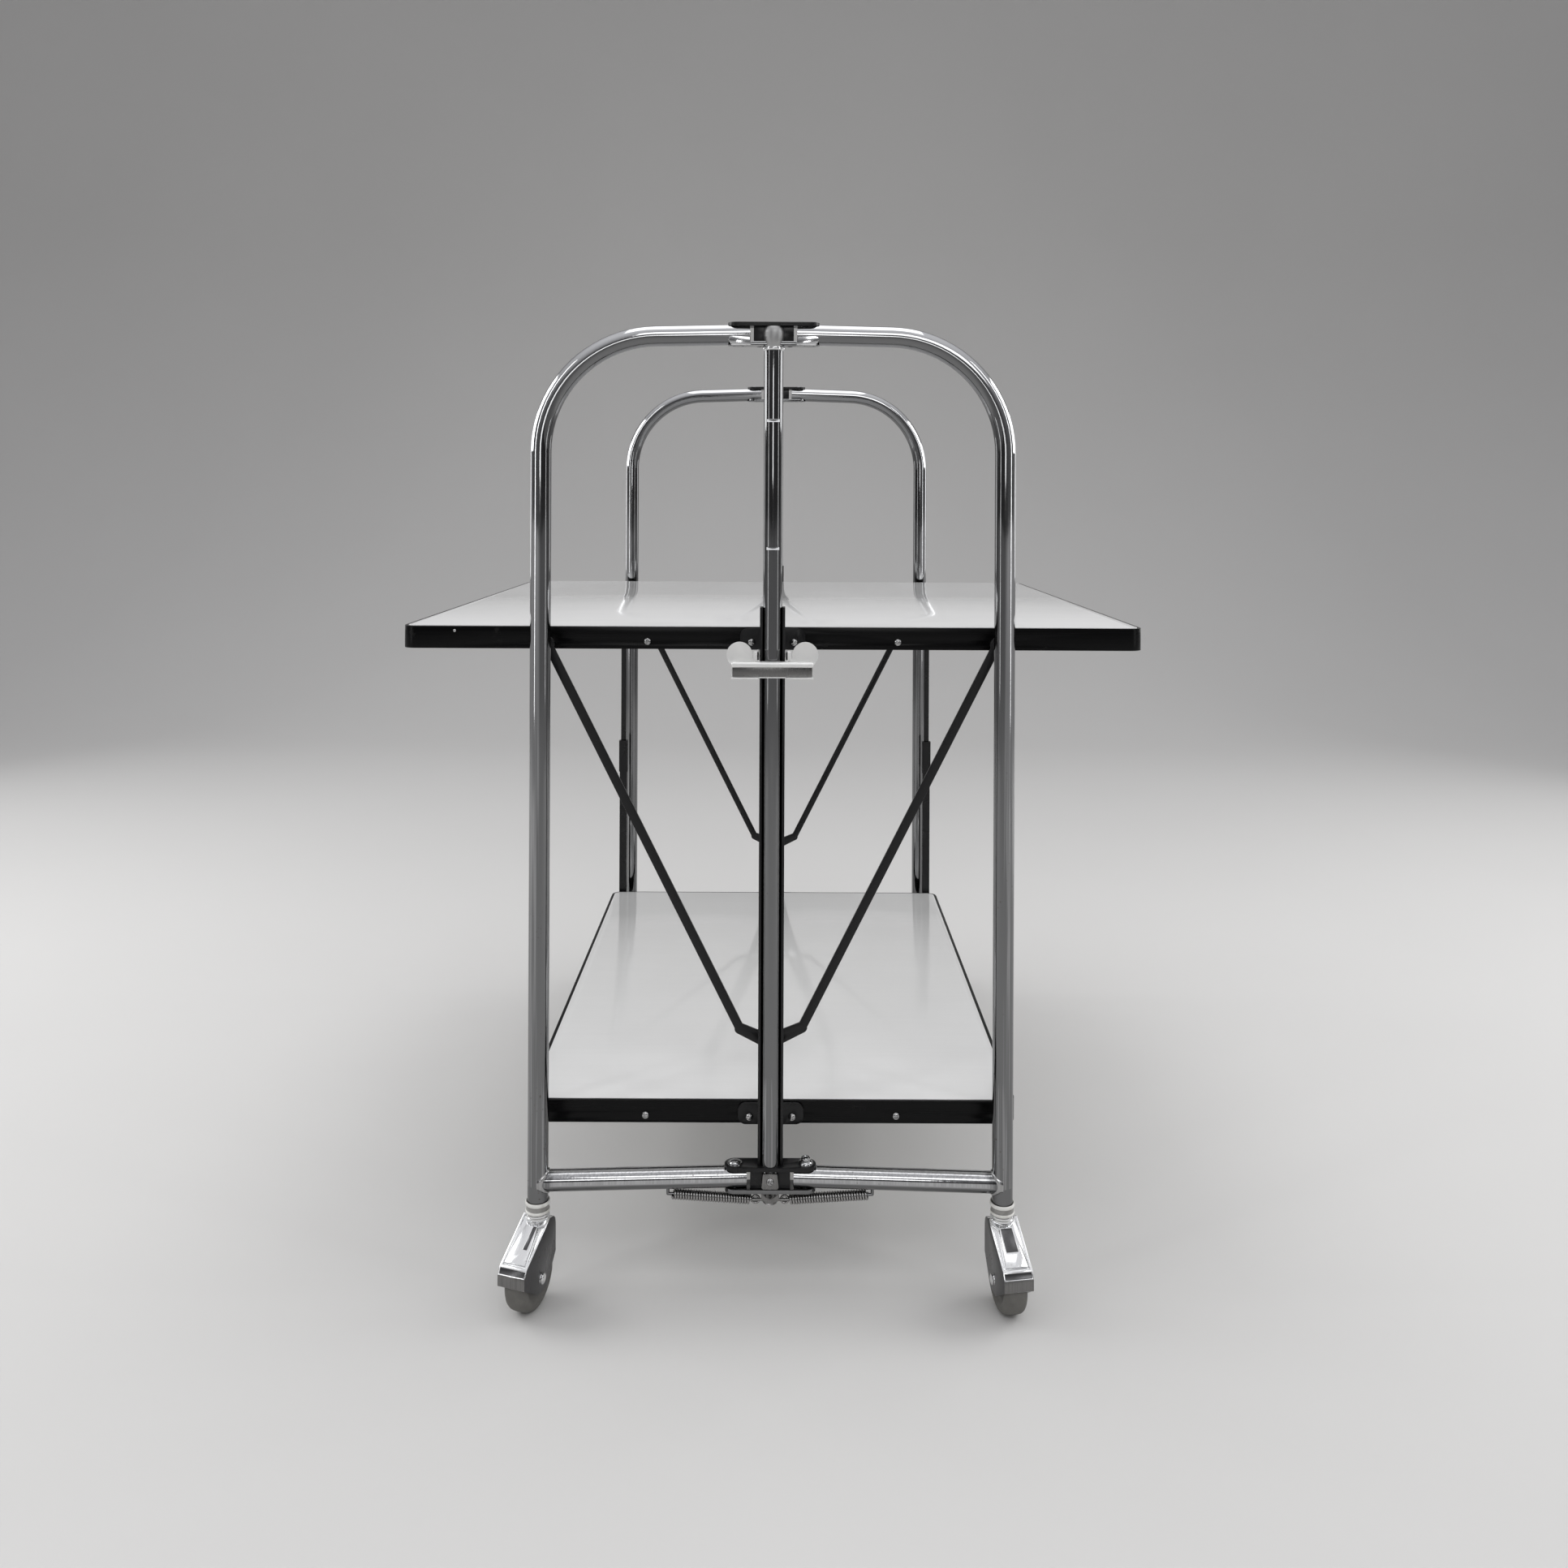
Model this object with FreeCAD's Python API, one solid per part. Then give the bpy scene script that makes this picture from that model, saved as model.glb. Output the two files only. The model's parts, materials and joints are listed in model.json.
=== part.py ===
import FreeCAD, Part
import math
import os

# Drop leaf tea trolley: two arched end frames, two split trays, four castors.
# Millimetres. X runs across, Y from the front end (negative) to the rear end, Z up from the floor.
# Shapes of the front right quarter are drawn first. Depths named depth_* start at the end frame's
# plane and grow towards the middle of the trolley.

V = FreeCAD.Vector
X_AXIS = V(1, 0, 0)
Y_AXIS = V(0, 1, 0)
Z_AXIS = V(0, 0, 1)

# Clearances and the overrun of cutting tools
running_fit = 0.05
sliding_play = 0.3
swing_play = 1.0
overrun = 1.0

# End frames: bent tube, hinged in two pairs of plates on the post
tube_radius = 8.0
tube_bore_radius = 6.5
leg_x = 179.3
arch_z = 744.0
arch_slope_deg = 1.6
bend_radius = 90.0
strut_tube_z = 90.0
leg_bottom_z = 74.0
tube_end_x = 18.5
plug_end_x = 46.0
toe_out_deg = 3.0
frame_pivot_x = 27.5
pivot_pin_radius = 3.5

# Hinge plates, blocks and pins of the end frames
plate_half_width = 8.0
plate_thickness = 3.0
arch_plate_gap = 12.0
base_plate_gap = 14.0
block_half_length = 15.5
block_half_width = 5.5
rivet_head_radius = 5.5
rivet_head_height = 2.4
arch_rivet_head_height = 0.6
bolt_head_height = 5.0

# Posts with their latch slots, tabs and screws
post_radius = 7.5
slot_steps = 2
slot_half_height = 1.2
slot_half_width = 5.0
slot_depth = 1.5
tab_half_width = 7.0
tab_half_height = 6.0
tab_thickness = 1.5
tab_corner_radius = 2.0
screw_head_radius = 3.5
screw_head_height = 2.0
screw_slot_half_width = 0.5
screw_slot_depth = 0.8

# Channels: a fixed one below, a sliding one that carries the upper tray
channel_half_width = 9.8
channel_wall = 2.0
channel_front_depth = -4.0
slider_bottom_z = 478.3
slider_top_z = 532.0

# Trays: each is two leaves on hinge screws beside the post
tray_half_y = 272.5
depth_leaf_end = 27.5
tray_thickness = 18.0
hinge_below_top = 12.0
leaf_hinge_x = 17.0
upper_top_z = 514.0
lower_top_z = 136.0
upper_half_x = 296.5
lower_half_x = 196.0
upper_seam_x = 1.6
lower_seam_x = 5.5
edging_thickness = 3.0
edging_drop = 0.4
tray_corner_radius = 11.0
fixing_x = 100.0
hinge_screw_radius = 2.5
screw_length_in_leaf = 14.0

# Hinge brackets on the channels and the rails between them
lug_half_width = 26.0
lug_rise = 11.0
lug_drop = 6.0
lug_thickness = 2.0
lug_corner_radius = 6.0
lug_gap = 0.5
rail_half_width = 4.0
rail_height = 11.5
upper_rail_top_z = 495.0
lower_rail_top_z = 109.5

# Struts that fold the upper leaves
strut_pivot_z = 189.0
strut_top_x = 177.0
strut_bend_x = 24.4
strut_bend_rise = 11.0
strut_thickness = 2.5
strut_half_width = 3.5
strut_foot_half_width = 5.5
strut_bend_half_width = 4.2
strut_eye_radius = 7.0
strut_top_radius = 5.5
strut_bolt_radius = 3.0
strut_bolt_depth = 4.0
stud_radius = 2.2
stud_head_radius = 3.5
stud_head_height = 1.2
leaf_drop_deg = 76.0

# Telescopic stays between the upper and the lower leaves
stay_x = 185.0
stay_depth = 21.25
stay_bar_half_width = 3.0
stay_bar_half_thickness = 1.5
stay_bar_length = 218.0
stay_sleeve_half_width = 4.25
stay_sleeve_half_thickness = 3.0
stay_sleeve_top_rise = 195.0
stay_sleeve_floor_rise = 9.0
stay_collar_bottom_rise = 157.0
stay_collar_extra = 0.8
stay_eye_radius = 5.0
stay_pin_radius = 2.0
stay_pin_head_radius = 3.8
stay_pin_head_height = 1.0
stay_shoulder_radius = 3.4

# Latch handles on the sliding channels
latch_half_length = 31.5
latch_sheet = 1.2
latch_depth = -11.2
latch_bottom_z = 478.4
latch_top_z = 491.3
latch_lip = 6.0
latch_notch_half_width = 10.5
latch_ear_x = 25.3
latch_ear_z = 496.4
latch_ear_radius = 10.0
latch_pivot_z = 495.0
latch_pivot_depth = -1.0
latch_arm_half_height = 4.0
latch_arm_end_depth = 2.0
latch_pin_radius = 1.5
latch_pin_end_x = 13.0
latch_tooth_half_width = 4.0
latch_tooth_z = 479.4
latch_tooth_half_height = 0.9

# Springs that hold the end frames open
spring_wire_radius = 0.65
spring_coil_radius = 2.85
spring_turns = 24
spring_points_per_turn = 24
spring_start_x = 15.0
spring_end_x = 75.5
spring_start_z = 71.8
spring_end_z = 77.2
spring_plug_radius = 1.2
spring_plug_length = 8.0
clip_radius = 6.9
clip_drop = 2.9
clip_half_thickness = 6.0
clip_rod_half_length = 21.0

# Castors: collar in the leg, swivelling hood, axle and wheel
collar_radius = 9.3
collar_bottom_z = 66.3
collar_spigot_radius = 6.4
collar_spigot_top_z = 108.0
stem_radius = 5.0
stem_top_z = 106.0
wheel_radius = 24.0
wheel_half_width = 9.0
wheel_edge_radius = 3.0
wheel_trail = 13.0
axle_radius = 2.5
axle_head_radius = 4.0
axle_head_height = 1.2
hood_half_width = 11.4
hood_cheek = 1.6
hood_top_z = 66.0
hood_slope_start = V(1.0, 0, 63.8)
hood_slope_end = V(36.5, 0, 42.5)
hood_lip_x = 40.0
hood_lip_top_z = 37.5
hood_lip_bottom_z = 29.0
hood_belly = V(19.0, 0, 14.5)
hood_heel = V(6.0, 0, 14.5)
hood_back_x = -8.0
hood_back_top_z = 62.8
hood_back_bottom_z = 34.0
neck_radius = 8.6
neck_bottom_z = 56.0
hood_wheel_room = 1.4
hood_edge_radius = 1.2
front_left_castor_deg = 251.0
front_right_castor_deg = 279.0
half_turn_deg = 180.0
diagonal_share = math.sqrt(1 / 2)

# Places worked out from the driving dimensions
upper_hinge_z = upper_top_z - hinge_below_top
lower_hinge_z = lower_top_z - hinge_below_top
end_y = tray_half_y + depth_leaf_end
depth_lug_inner = depth_leaf_end - lug_gap
depth_lug_outer = depth_lug_inner - lug_thickness
depth_web_inner = channel_half_width
depth_left_strut = depth_web_inner + sliding_play
depth_right_strut = depth_left_strut + strut_thickness + sliding_play
depth_bolt_head = depth_right_strut + strut_thickness + sliding_play
base_cap_z = strut_tube_z + base_plate_gap / 2
base_foot_z = strut_tube_z - base_plate_gap / 2
arch_cap_z = arch_z + arch_plate_gap / 2
arch_foot_z = arch_z - arch_plate_gap / 2
arch_slope = math.radians(arch_slope_deg)
arch_direction = V(math.cos(arch_slope), 0, -math.sin(arch_slope))

# The lift that folds the leaves, from the length of a strut, and the latch slots that it needs
leaf_drop = math.radians(leaf_drop_deg)
leaf_arm = strut_top_x - leaf_hinge_x
strut_height = upper_hinge_z - strut_pivot_z
strut_run = leaf_hinge_x + leaf_arm * math.cos(leaf_drop)
strut_rise = math.sqrt(strut_top_x ** 2 + strut_height ** 2 - strut_run ** 2)
lift = strut_rise + leaf_arm * math.sin(leaf_drop) - strut_height
strut_turn = math.atan2(strut_top_x, strut_height) - math.atan2(strut_run, strut_rise)
slot_zs = [latch_tooth_z + lift * step / slot_steps for step in range(slot_steps + 1)]


def box(x0, x1, y0, y1, z0, z1):
    return Part.makeBox(x1 - x0, y1 - y0, z1 - z0, V(x0, y0, z0))


def rod(start, direction, radius, length):
    return Part.makeCylinder(radius, length, start, direction)


def fused(shapes):
    whole = shapes[0].multiFuse(shapes[1:])
    return whole.removeSplitter()


def prism(points, y0, y1):
    outline = Part.makePolygon(points + [points[0]])
    outline.translate(V(0, y0, 0))
    return Part.Face(outline).extrude(V(0, y1 - y0, 0))


def at_front(shape):
    placed = shape.copy()
    placed.translate(V(0, -end_y, 0))
    return placed


def other_end(shape):
    return shape.mirror(V(0, 0, 0), Y_AXIS)


def same_side(shape):
    return shape


def other_side(shape):
    return shape.mirror(V(0, 0, 0), X_AXIS)


def both_ends(shape):
    front = at_front(shape)
    return [front, other_end(front)]


def both_sides(shape):
    return [shape, other_side(shape)]


def export(name, solids):
    shape = solids[0] if len(solids) == 1 else Part.makeCompound(solids)
    shape.exportStep("parts/" + name + ".step")


def screw_head(x, depth, z, outward):
    head = rod(V(x, depth, z), V(0, outward, 0), screw_head_radius, screw_head_height)
    slot_depth_y = depth + outward * (screw_head_height - screw_slot_depth)
    near = min(slot_depth_y, slot_depth_y + outward * overrun)
    far = max(slot_depth_y, slot_depth_y + outward * overrun)
    slot = box(
        x - screw_slot_half_width,
        x + screw_slot_half_width,
        near,
        far,
        z - screw_head_radius,
        z + screw_head_radius,
    )
    return head.cut(slot)


# End frames
def arch_point(x):
    return V(x, 0, arch_z - (x - tube_end_x) * math.tan(arch_slope))


def tube_path(start_x, end_z):
    bend_x = leg_x - bend_radius
    top_end = arch_point(bend_x + bend_radius * math.sin(arch_slope))
    centre = V(bend_x, 0, top_end.z - bend_radius * math.cos(arch_slope))
    half_bend = (math.pi / 2 - arch_slope) / 2
    middle = centre + V(math.cos(half_bend), 0, math.sin(half_bend)) * bend_radius
    leg_top = V(leg_x, 0, centre.z)
    top = Part.LineSegment(arch_point(start_x), top_end).toShape()
    bend = Part.Arc(top_end, middle, leg_top).toShape()
    leg = Part.LineSegment(leg_top, V(leg_x, 0, end_z)).toShape()
    return Part.Wire([top, bend, leg])


def arch_sweep(start_x, end_z, radius):
    ring = Part.Wire(Part.makeCircle(radius, arch_point(start_x), arch_direction))
    return tube_path(start_x, end_z).makePipeShell([ring], True, False)


def tongue_cuts(axis_z, plate_gap):
    tongue_half_height = plate_gap / 2 - sliding_play
    slab_height = tube_radius + overrun - tongue_half_height
    reach = tube_radius + overrun
    cuts = []
    for bottom_z in (axis_z + tongue_half_height, axis_z - tongue_half_height - slab_height):
        top_z = bottom_z + slab_height
        cuts.append(box(tube_end_x - overrun, frame_pivot_x, -reach, reach, bottom_z, top_z))
        room = rod(V(frame_pivot_x, 0, bottom_z), Z_AXIS, plate_half_width + swing_play, slab_height)
        cuts.append(room)
    cuts.append(
        rod(
            V(frame_pivot_x, 0, axis_z - plate_gap),
            Z_AXIS,
            pivot_pin_radius + running_fit,
            plate_gap * 2,
        )
    )
    return cuts


def spring_anchor():
    along = V(spring_end_x - spring_start_x, 0, spring_end_z - spring_start_z).normalize()
    end = V(spring_end_x, 0, spring_end_z)
    foot = end + along * (spring_coil_radius + spring_wire_radius + sliding_play)
    plug = rod(foot, along * -1, spring_plug_radius, spring_plug_length)
    peg_length = strut_tube_z - tube_radius + overrun - foot.z
    peg = rod(foot, Z_AXIS, spring_plug_radius, peg_length)
    knee = Part.makeSphere(spring_plug_radius, foot)
    return [plug, peg, knee]


def half_frame():
    outer = arch_sweep(tube_end_x, leg_bottom_z, tube_radius)
    bore = arch_sweep(plug_end_x, leg_bottom_z - overrun, tube_bore_radius)
    strut = rod(V(tube_end_x, 0, strut_tube_z), X_AXIS, tube_radius, leg_x - tube_end_x)
    strut_bore_length = leg_x - tube_radius - plug_end_x
    strut_bore = rod(V(plug_end_x, 0, strut_tube_z), X_AXIS, tube_bore_radius, strut_bore_length)
    frame = fused([outer, strut] + spring_anchor())
    cuts = [bore, strut_bore]
    cuts += tongue_cuts(arch_z, arch_plate_gap)
    cuts += tongue_cuts(strut_tube_z, base_plate_gap)
    return frame.cut(Part.makeCompound(cuts))


def on_corner(shape, x_side, y_side):
    turned = shape.copy()
    if x_side < 0:
        turned.rotate(V(0, 0, 0), Z_AXIS, half_turn_deg)
    turned.rotate(V(x_side * frame_pivot_x, 0, 0), Z_AXIS, x_side * y_side * toe_out_deg)
    turned.translate(V(0, y_side * end_y, 0))
    return turned


# Springs: a helix of half turns, each half turn a pair of arcs that share a tangent
def helix_point(origin, along, side, up, turn_share):
    angle = 2 * math.pi * turn_share
    length = (V(spring_end_x, 0, spring_end_z) - V(spring_start_x, 0, spring_start_z)).Length
    advance = along * (length * turn_share / spring_turns)
    around = side * math.cos(angle) + up * math.sin(angle)
    return origin + advance + around * spring_coil_radius


def helix_tangent(along, side, up, turn_share):
    angle = 2 * math.pi * turn_share
    length = (V(spring_end_x, 0, spring_end_z) - V(spring_start_x, 0, spring_start_z)).Length
    rise = along * (length / spring_turns)
    around = up * math.cos(angle) - side * math.sin(angle)
    return (rise + around * (2 * math.pi * spring_coil_radius)).normalize()


def arc_from_tangent(start, tangent, end):
    chord = end - start
    middle = (start + end) / 2
    chord_direction = V(chord).normalize()
    cosine = max(-1.0, min(1.0, tangent.dot(chord_direction)))
    sideways = (tangent - chord_direction * cosine).normalize()
    sagitta = chord.Length / 2 * math.tan(math.acos(cosine) / 2)
    return Part.Arc(start, middle + sideways * sagitta, end).toShape()


def biarc(start, start_tangent, end, end_tangent):
    chord = end - start
    sum_of_tangents = start_tangent + end_tangent
    square = 2 * (1 - start_tangent.dot(end_tangent))
    linear = 2 * chord.dot(sum_of_tangents)
    reach = (-linear + math.sqrt(linear ** 2 + 4 * square * chord.dot(chord))) / (2 * square)
    joint = (start + end + (start_tangent - end_tangent) * reach) / 2
    joint_tangent = (end - end_tangent * reach - start - start_tangent * reach).normalize()
    first = arc_from_tangent(start, start_tangent, joint)
    second = arc_from_tangent(joint, joint_tangent, end)
    return [first, second]


def spring():
    origin = V(spring_start_x, 0, spring_start_z)
    along = V(spring_end_x - spring_start_x, 0, spring_end_z - spring_start_z).normalize()
    side = Y_AXIS
    up = along.cross(side) * -1
    edges = []
    shares = [half / 2 for half in range(spring_turns * 2 + 1)]
    for first, second in zip(shares[:-1], shares[1:]):
        edges += biarc(
            helix_point(origin, along, side, up, first),
            helix_tangent(along, side, up, first),
            helix_point(origin, along, side, up, second),
            helix_tangent(along, side, up, second),
        )
    straight = spring_wire_radius * 2
    start = helix_point(origin, along, side, up, 0)
    start_tangent = helix_tangent(along, side, up, 0)
    end = helix_point(origin, along, side, up, spring_turns)
    end_tangent = helix_tangent(along, side, up, spring_turns)
    lead_in = Part.LineSegment(start - start_tangent * straight, start).toShape()
    lead_out = Part.LineSegment(end, end + end_tangent * straight).toShape()
    wire = Part.Wire([lead_in] + edges + [lead_out])
    ring = Part.Wire(Part.makeCircle(spring_wire_radius, start - start_tangent * straight, start_tangent))
    print("least gap of a spring to itself, mm:", round(least_gap(wire), 2))
    return wire.makePipeShell([ring], True, False)


def least_gap(wire):
    points = wire.discretize(Number=spring_turns * spring_points_per_turn)
    apart = spring_points_per_turn // 2
    nearest = min(
        points[i].distanceToPoint(points[j])
        for i in range(len(points))
        for j in range(i + apart, min(len(points), i + spring_points_per_turn * 2))
    )
    return nearest - 2 * spring_wire_radius


# Posts and the hinge plates on them
def hinge_plate(bottom_z):
    pivot_xs = (-frame_pivot_x, frame_pivot_x)
    top_z = bottom_z + plate_thickness
    bar = box(-frame_pivot_x, frame_pivot_x, -plate_half_width, plate_half_width, bottom_z, top_z)
    ends = [rod(V(x, 0, bottom_z), Z_AXIS, plate_half_width, plate_thickness) for x in pivot_xs]
    plate = fused([bar] + ends)
    hole_radius = pivot_pin_radius + running_fit
    hole_length = plate_thickness + 2 * overrun
    for x in pivot_xs:
        plate = plate.cut(rod(V(x, 0, bottom_z - overrun), Z_AXIS, hole_radius, hole_length))
    return plate


def post_hole(bottom_z, height):
    return rod(V(0, 0, bottom_z - overrun), Z_AXIS, post_radius + running_fit, height + 2 * overrun)


def drilled_plate(bottom_z):
    return hinge_plate(bottom_z).cut(post_hole(bottom_z, plate_thickness))


def hinge_block(bottom_z, height):
    top_z = bottom_z + height
    block = box(-block_half_length, block_half_length, -block_half_width, block_half_width, bottom_z, top_z)
    return block.cut(post_hole(bottom_z, height)).Solids


def pivot_pin(x, foot_z, cap_z, head_height):
    bottom_z = foot_z - plate_thickness
    top_z = cap_z + plate_thickness
    shank = rod(V(x, 0, bottom_z), Z_AXIS, pivot_pin_radius, top_z - bottom_z)
    head = rod(V(x, 0, top_z), Z_AXIS, rivet_head_radius, head_height)
    rim = [edge for edge in head.Edges if edge.BoundBox.ZMin > top_z + head_height - running_fit]
    head = head.makeFillet(min(head_height, rivet_head_height) / 2, rim)
    return fused([shank, head])


def post():
    shaft = rod(V(0, 0, base_foot_z), Z_AXIS, post_radius, arch_cap_z - base_foot_z)
    for z in slot_zs:
        slot = box(
            -slot_half_width,
            slot_half_width,
            -post_radius - overrun,
            -post_radius + slot_depth,
            z - slot_half_height,
            z + slot_half_height,
        )
        shaft = shaft.cut(slot)
    bolt_hole_start = V(0, post_radius - strut_bolt_depth, strut_pivot_z)
    bolt_hole = rod(bolt_hole_start, Y_AXIS, strut_bolt_radius + running_fit, strut_bolt_depth + overrun)
    return shaft.cut(bolt_hole)


def post_tab():
    tab = box(
        -tab_half_width,
        tab_half_width,
        -post_radius - tab_thickness,
        -post_radius,
        strut_tube_z - tab_half_height,
        strut_tube_z + tab_half_height,
    )
    corners = [edge for edge in tab.Edges if abs(edge.BoundBox.YLength - tab_thickness) < running_fit]
    return tab.makeFillet(tab_corner_radius, corners)


def spring_clip():
    plate_bottom = base_foot_z - plate_thickness
    disc_z = plate_bottom - clip_drop
    disc = rod(V(0, -clip_half_thickness, disc_z), Y_AXIS, clip_radius, clip_half_thickness * 2)
    upper_half = box(
        -clip_radius - overrun,
        clip_radius + overrun,
        -clip_half_thickness - overrun,
        clip_half_thickness + overrun,
        disc_z,
        disc_z + clip_radius + overrun,
    )
    saddle = box(
        -clip_radius,
        clip_radius,
        -clip_half_thickness,
        clip_half_thickness,
        disc_z,
        plate_bottom,
    )
    rod_start = V(-clip_rod_half_length, 0, spring_start_z)
    hooks = rod(rod_start, X_AXIS, spring_plug_radius, clip_rod_half_length * 2)
    return fused([disc.cut(upper_half), saddle, hooks])


# Channels with their hinge brackets
def channel(bottom_z, top_z):
    half = channel_half_width
    inner = channel_half_width - channel_wall
    outside = box(-half, half, channel_front_depth, depth_web_inner, bottom_z, top_z)
    inside = box(-inner, inner, channel_front_depth - overrun, inner, bottom_z - overrun, top_z + overrun)
    return outside.cut(inside)


def hinge_bracket(hinge_z, block_bottom_z):
    bottom_z = hinge_z - lug_drop
    top_z = hinge_z + lug_rise
    half = channel_half_width
    block = box(-half, half, depth_web_inner, depth_lug_inner, block_bottom_z, top_z)
    lug = box(-lug_half_width, lug_half_width, depth_lug_outer, depth_lug_inner, bottom_z, top_z)
    corners = [edge for edge in lug.Edges if abs(edge.BoundBox.YLength - lug_thickness) < running_fit]
    lug = lug.makeFillet(lug_corner_radius, corners)
    return [block, lug]


def leaf_hinge_holes(hinge_z):
    length = lug_thickness + 2 * overrun
    starts = [V(x, depth_lug_outer - overrun, hinge_z) for x in (-leaf_hinge_x, leaf_hinge_x)]
    return [rod(start, Y_AXIS, hinge_screw_radius + running_fit, length) for start in starts]


def fixed_channel():
    bottom_z = base_cap_z + plate_thickness
    rail_bottom_z = lower_rail_top_z - rail_height
    bracket = hinge_bracket(lower_hinge_z, rail_bottom_z)
    body = fused([channel(bottom_z, slider_bottom_z - sliding_play)] + bracket)
    bolt_start = V(0, post_radius, strut_pivot_z)
    bolt_hole = rod(bolt_start, Y_AXIS, strut_bolt_radius + running_fit, depth_web_inner)
    return body.cut(Part.makeCompound(leaf_hinge_holes(lower_hinge_z) + [bolt_hole]))


def sliding_channel():
    rail_bottom_z = upper_rail_top_z - rail_height
    bracket = hinge_bracket(upper_hinge_z, rail_bottom_z)
    body = fused([channel(slider_bottom_z, slider_top_z)] + bracket)
    pin_start = V(-latch_pin_end_x, latch_pivot_depth, latch_pivot_z)
    pin_hole = rod(pin_start, X_AXIS, latch_pin_radius + running_fit, latch_pin_end_x * 2)
    return body.cut(Part.makeCompound(leaf_hinge_holes(upper_hinge_z) + [pin_hole]))


def rail(top_z):
    half = tray_half_y + lug_gap
    return box(-rail_half_width, rail_half_width, -half, half, top_z - rail_height, top_z)


def latch_pin():
    start_x = channel_half_width - channel_wall + running_fit
    start = V(start_x, latch_pivot_depth, latch_pivot_z)
    return rod(start, X_AXIS, latch_pin_radius, latch_pin_end_x - start_x)


def latch_handle():
    back = latch_depth + latch_sheet
    front = latch_depth - latch_lip
    pieces = [box(-latch_half_length, latch_half_length, latch_depth, back, latch_bottom_z, latch_top_z)]
    upper_bottom_z = latch_top_z - latch_sheet
    pieces.append(box(-latch_half_length, latch_half_length, front, back, upper_bottom_z, latch_top_z))
    lower_top = latch_bottom_z + latch_sheet
    lower_lip = box(latch_notch_half_width, latch_half_length, front, back, latch_bottom_z, lower_top)
    pieces += both_sides(lower_lip)
    arm_x = channel_half_width + sliding_play
    for side in (-1, 1):
        ear_centre = V(side * latch_ear_x, latch_depth, latch_ear_z)
        pieces.append(rod(ear_centre, Y_AXIS, latch_ear_radius, latch_sheet))
        inner_x = min(side * arm_x, side * (arm_x + channel_wall))
        outer_x = inner_x + channel_wall
        arm_bottom_z = latch_pivot_z - latch_arm_half_height
        arm_top_z = latch_pivot_z + latch_arm_half_height
        pieces.append(box(inner_x, outer_x, latch_depth, latch_arm_end_depth, arm_bottom_z, arm_top_z))
        pieces.append(box(inner_x, outer_x, latch_depth, back, latch_bottom_z, latch_pivot_z))
    tooth_end = -post_radius - sliding_play
    pieces.append(
        box(
            -latch_tooth_half_width,
            latch_tooth_half_width,
            latch_depth,
            tooth_end,
            latch_tooth_z - latch_tooth_half_height,
            latch_tooth_z + latch_tooth_half_height,
        )
    )
    pin_start = V(-latch_pin_end_x, latch_pivot_depth, latch_pivot_z)
    pin_hole = rod(pin_start, X_AXIS, latch_pin_radius + running_fit, latch_pin_end_x * 2)
    return fused(pieces).cut(pin_hole)


# Tray leaves, drawn on the right
def leaf_outline(seam_x, outer_x, half_y, corner_radius, bottom_z):
    turn = corner_radius * (1 - diagonal_share)
    near = V(outer_x - corner_radius, -half_y, bottom_z)
    near_middle = V(outer_x - turn, -half_y + turn, bottom_z)
    near_end = V(outer_x, -half_y + corner_radius, bottom_z)
    far = V(outer_x, half_y - corner_radius, bottom_z)
    far_middle = V(outer_x - turn, half_y - turn, bottom_z)
    far_end = V(outer_x - corner_radius, half_y, bottom_z)
    edges = [
        Part.LineSegment(V(seam_x, -half_y, bottom_z), near).toShape(),
        Part.Arc(near, near_middle, near_end).toShape(),
        Part.LineSegment(near_end, far).toShape(),
        Part.Arc(far, far_middle, far_end).toShape(),
        Part.LineSegment(far_end, V(seam_x, half_y, bottom_z)).toShape(),
        Part.LineSegment(V(seam_x, half_y, bottom_z), V(seam_x, -half_y, bottom_z)).toShape(),
    ]
    return Part.Face(Part.Wire(edges))


def leaf_holes(screw_xs, z):
    holes = []
    for x, radius in screw_xs:
        for side in (-1, 1):
            start = V(x, side * (tray_half_y + overrun), z)
            depth = screw_length_in_leaf + overrun + running_fit
            holes.append(rod(start, V(0, -side, 0), radius + running_fit, depth))
    return Part.makeCompound(holes)


def leaf_board(seam_x, outer_x, top_z, screw_xs):
    bottom_z = top_z - tray_thickness
    half_y = tray_half_y - edging_thickness
    inner_radius = tray_corner_radius - edging_thickness
    face = leaf_outline(seam_x, outer_x - edging_thickness, half_y, inner_radius, bottom_z)
    board = face.extrude(V(0, 0, tray_thickness))
    return board.cut(leaf_holes(screw_xs, top_z - hinge_below_top))


def leaf_edging(seam_x, outer_x, top_z, screw_xs):
    bottom_z = top_z - tray_thickness
    height = tray_thickness - edging_drop
    outer = leaf_outline(seam_x, outer_x, tray_half_y, tray_corner_radius, bottom_z)
    half_y = tray_half_y - edging_thickness
    inner_radius = tray_corner_radius - edging_thickness
    inner_seam = seam_x - overrun
    inner = leaf_outline(inner_seam, outer_x - edging_thickness, half_y, inner_radius, bottom_z)
    band = outer.extrude(V(0, 0, height)).cut(inner.extrude(V(0, 0, height)))
    return band.cut(leaf_holes(screw_xs, top_z - hinge_below_top))


def hinge_screw(z):
    length = depth_leaf_end + screw_length_in_leaf - depth_lug_outer
    shank = rod(V(leaf_hinge_x, depth_lug_outer, z), Y_AXIS, hinge_screw_radius, length)
    return fused([screw_head(leaf_hinge_x, depth_lug_outer, z, -1), shank])


def fixing_screw(z):
    shank = rod(V(fixing_x, depth_leaf_end, z), Y_AXIS, hinge_screw_radius, screw_length_in_leaf)
    return fused([screw_head(fixing_x, depth_leaf_end, z, -1), shank])


def strut_stud(z, strut_depth):
    start_depth = strut_depth + strut_thickness + sliding_play
    length = depth_leaf_end + screw_length_in_leaf - start_depth
    return rod(V(strut_top_x, start_depth, z), Y_AXIS, stud_radius, length)


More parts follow.
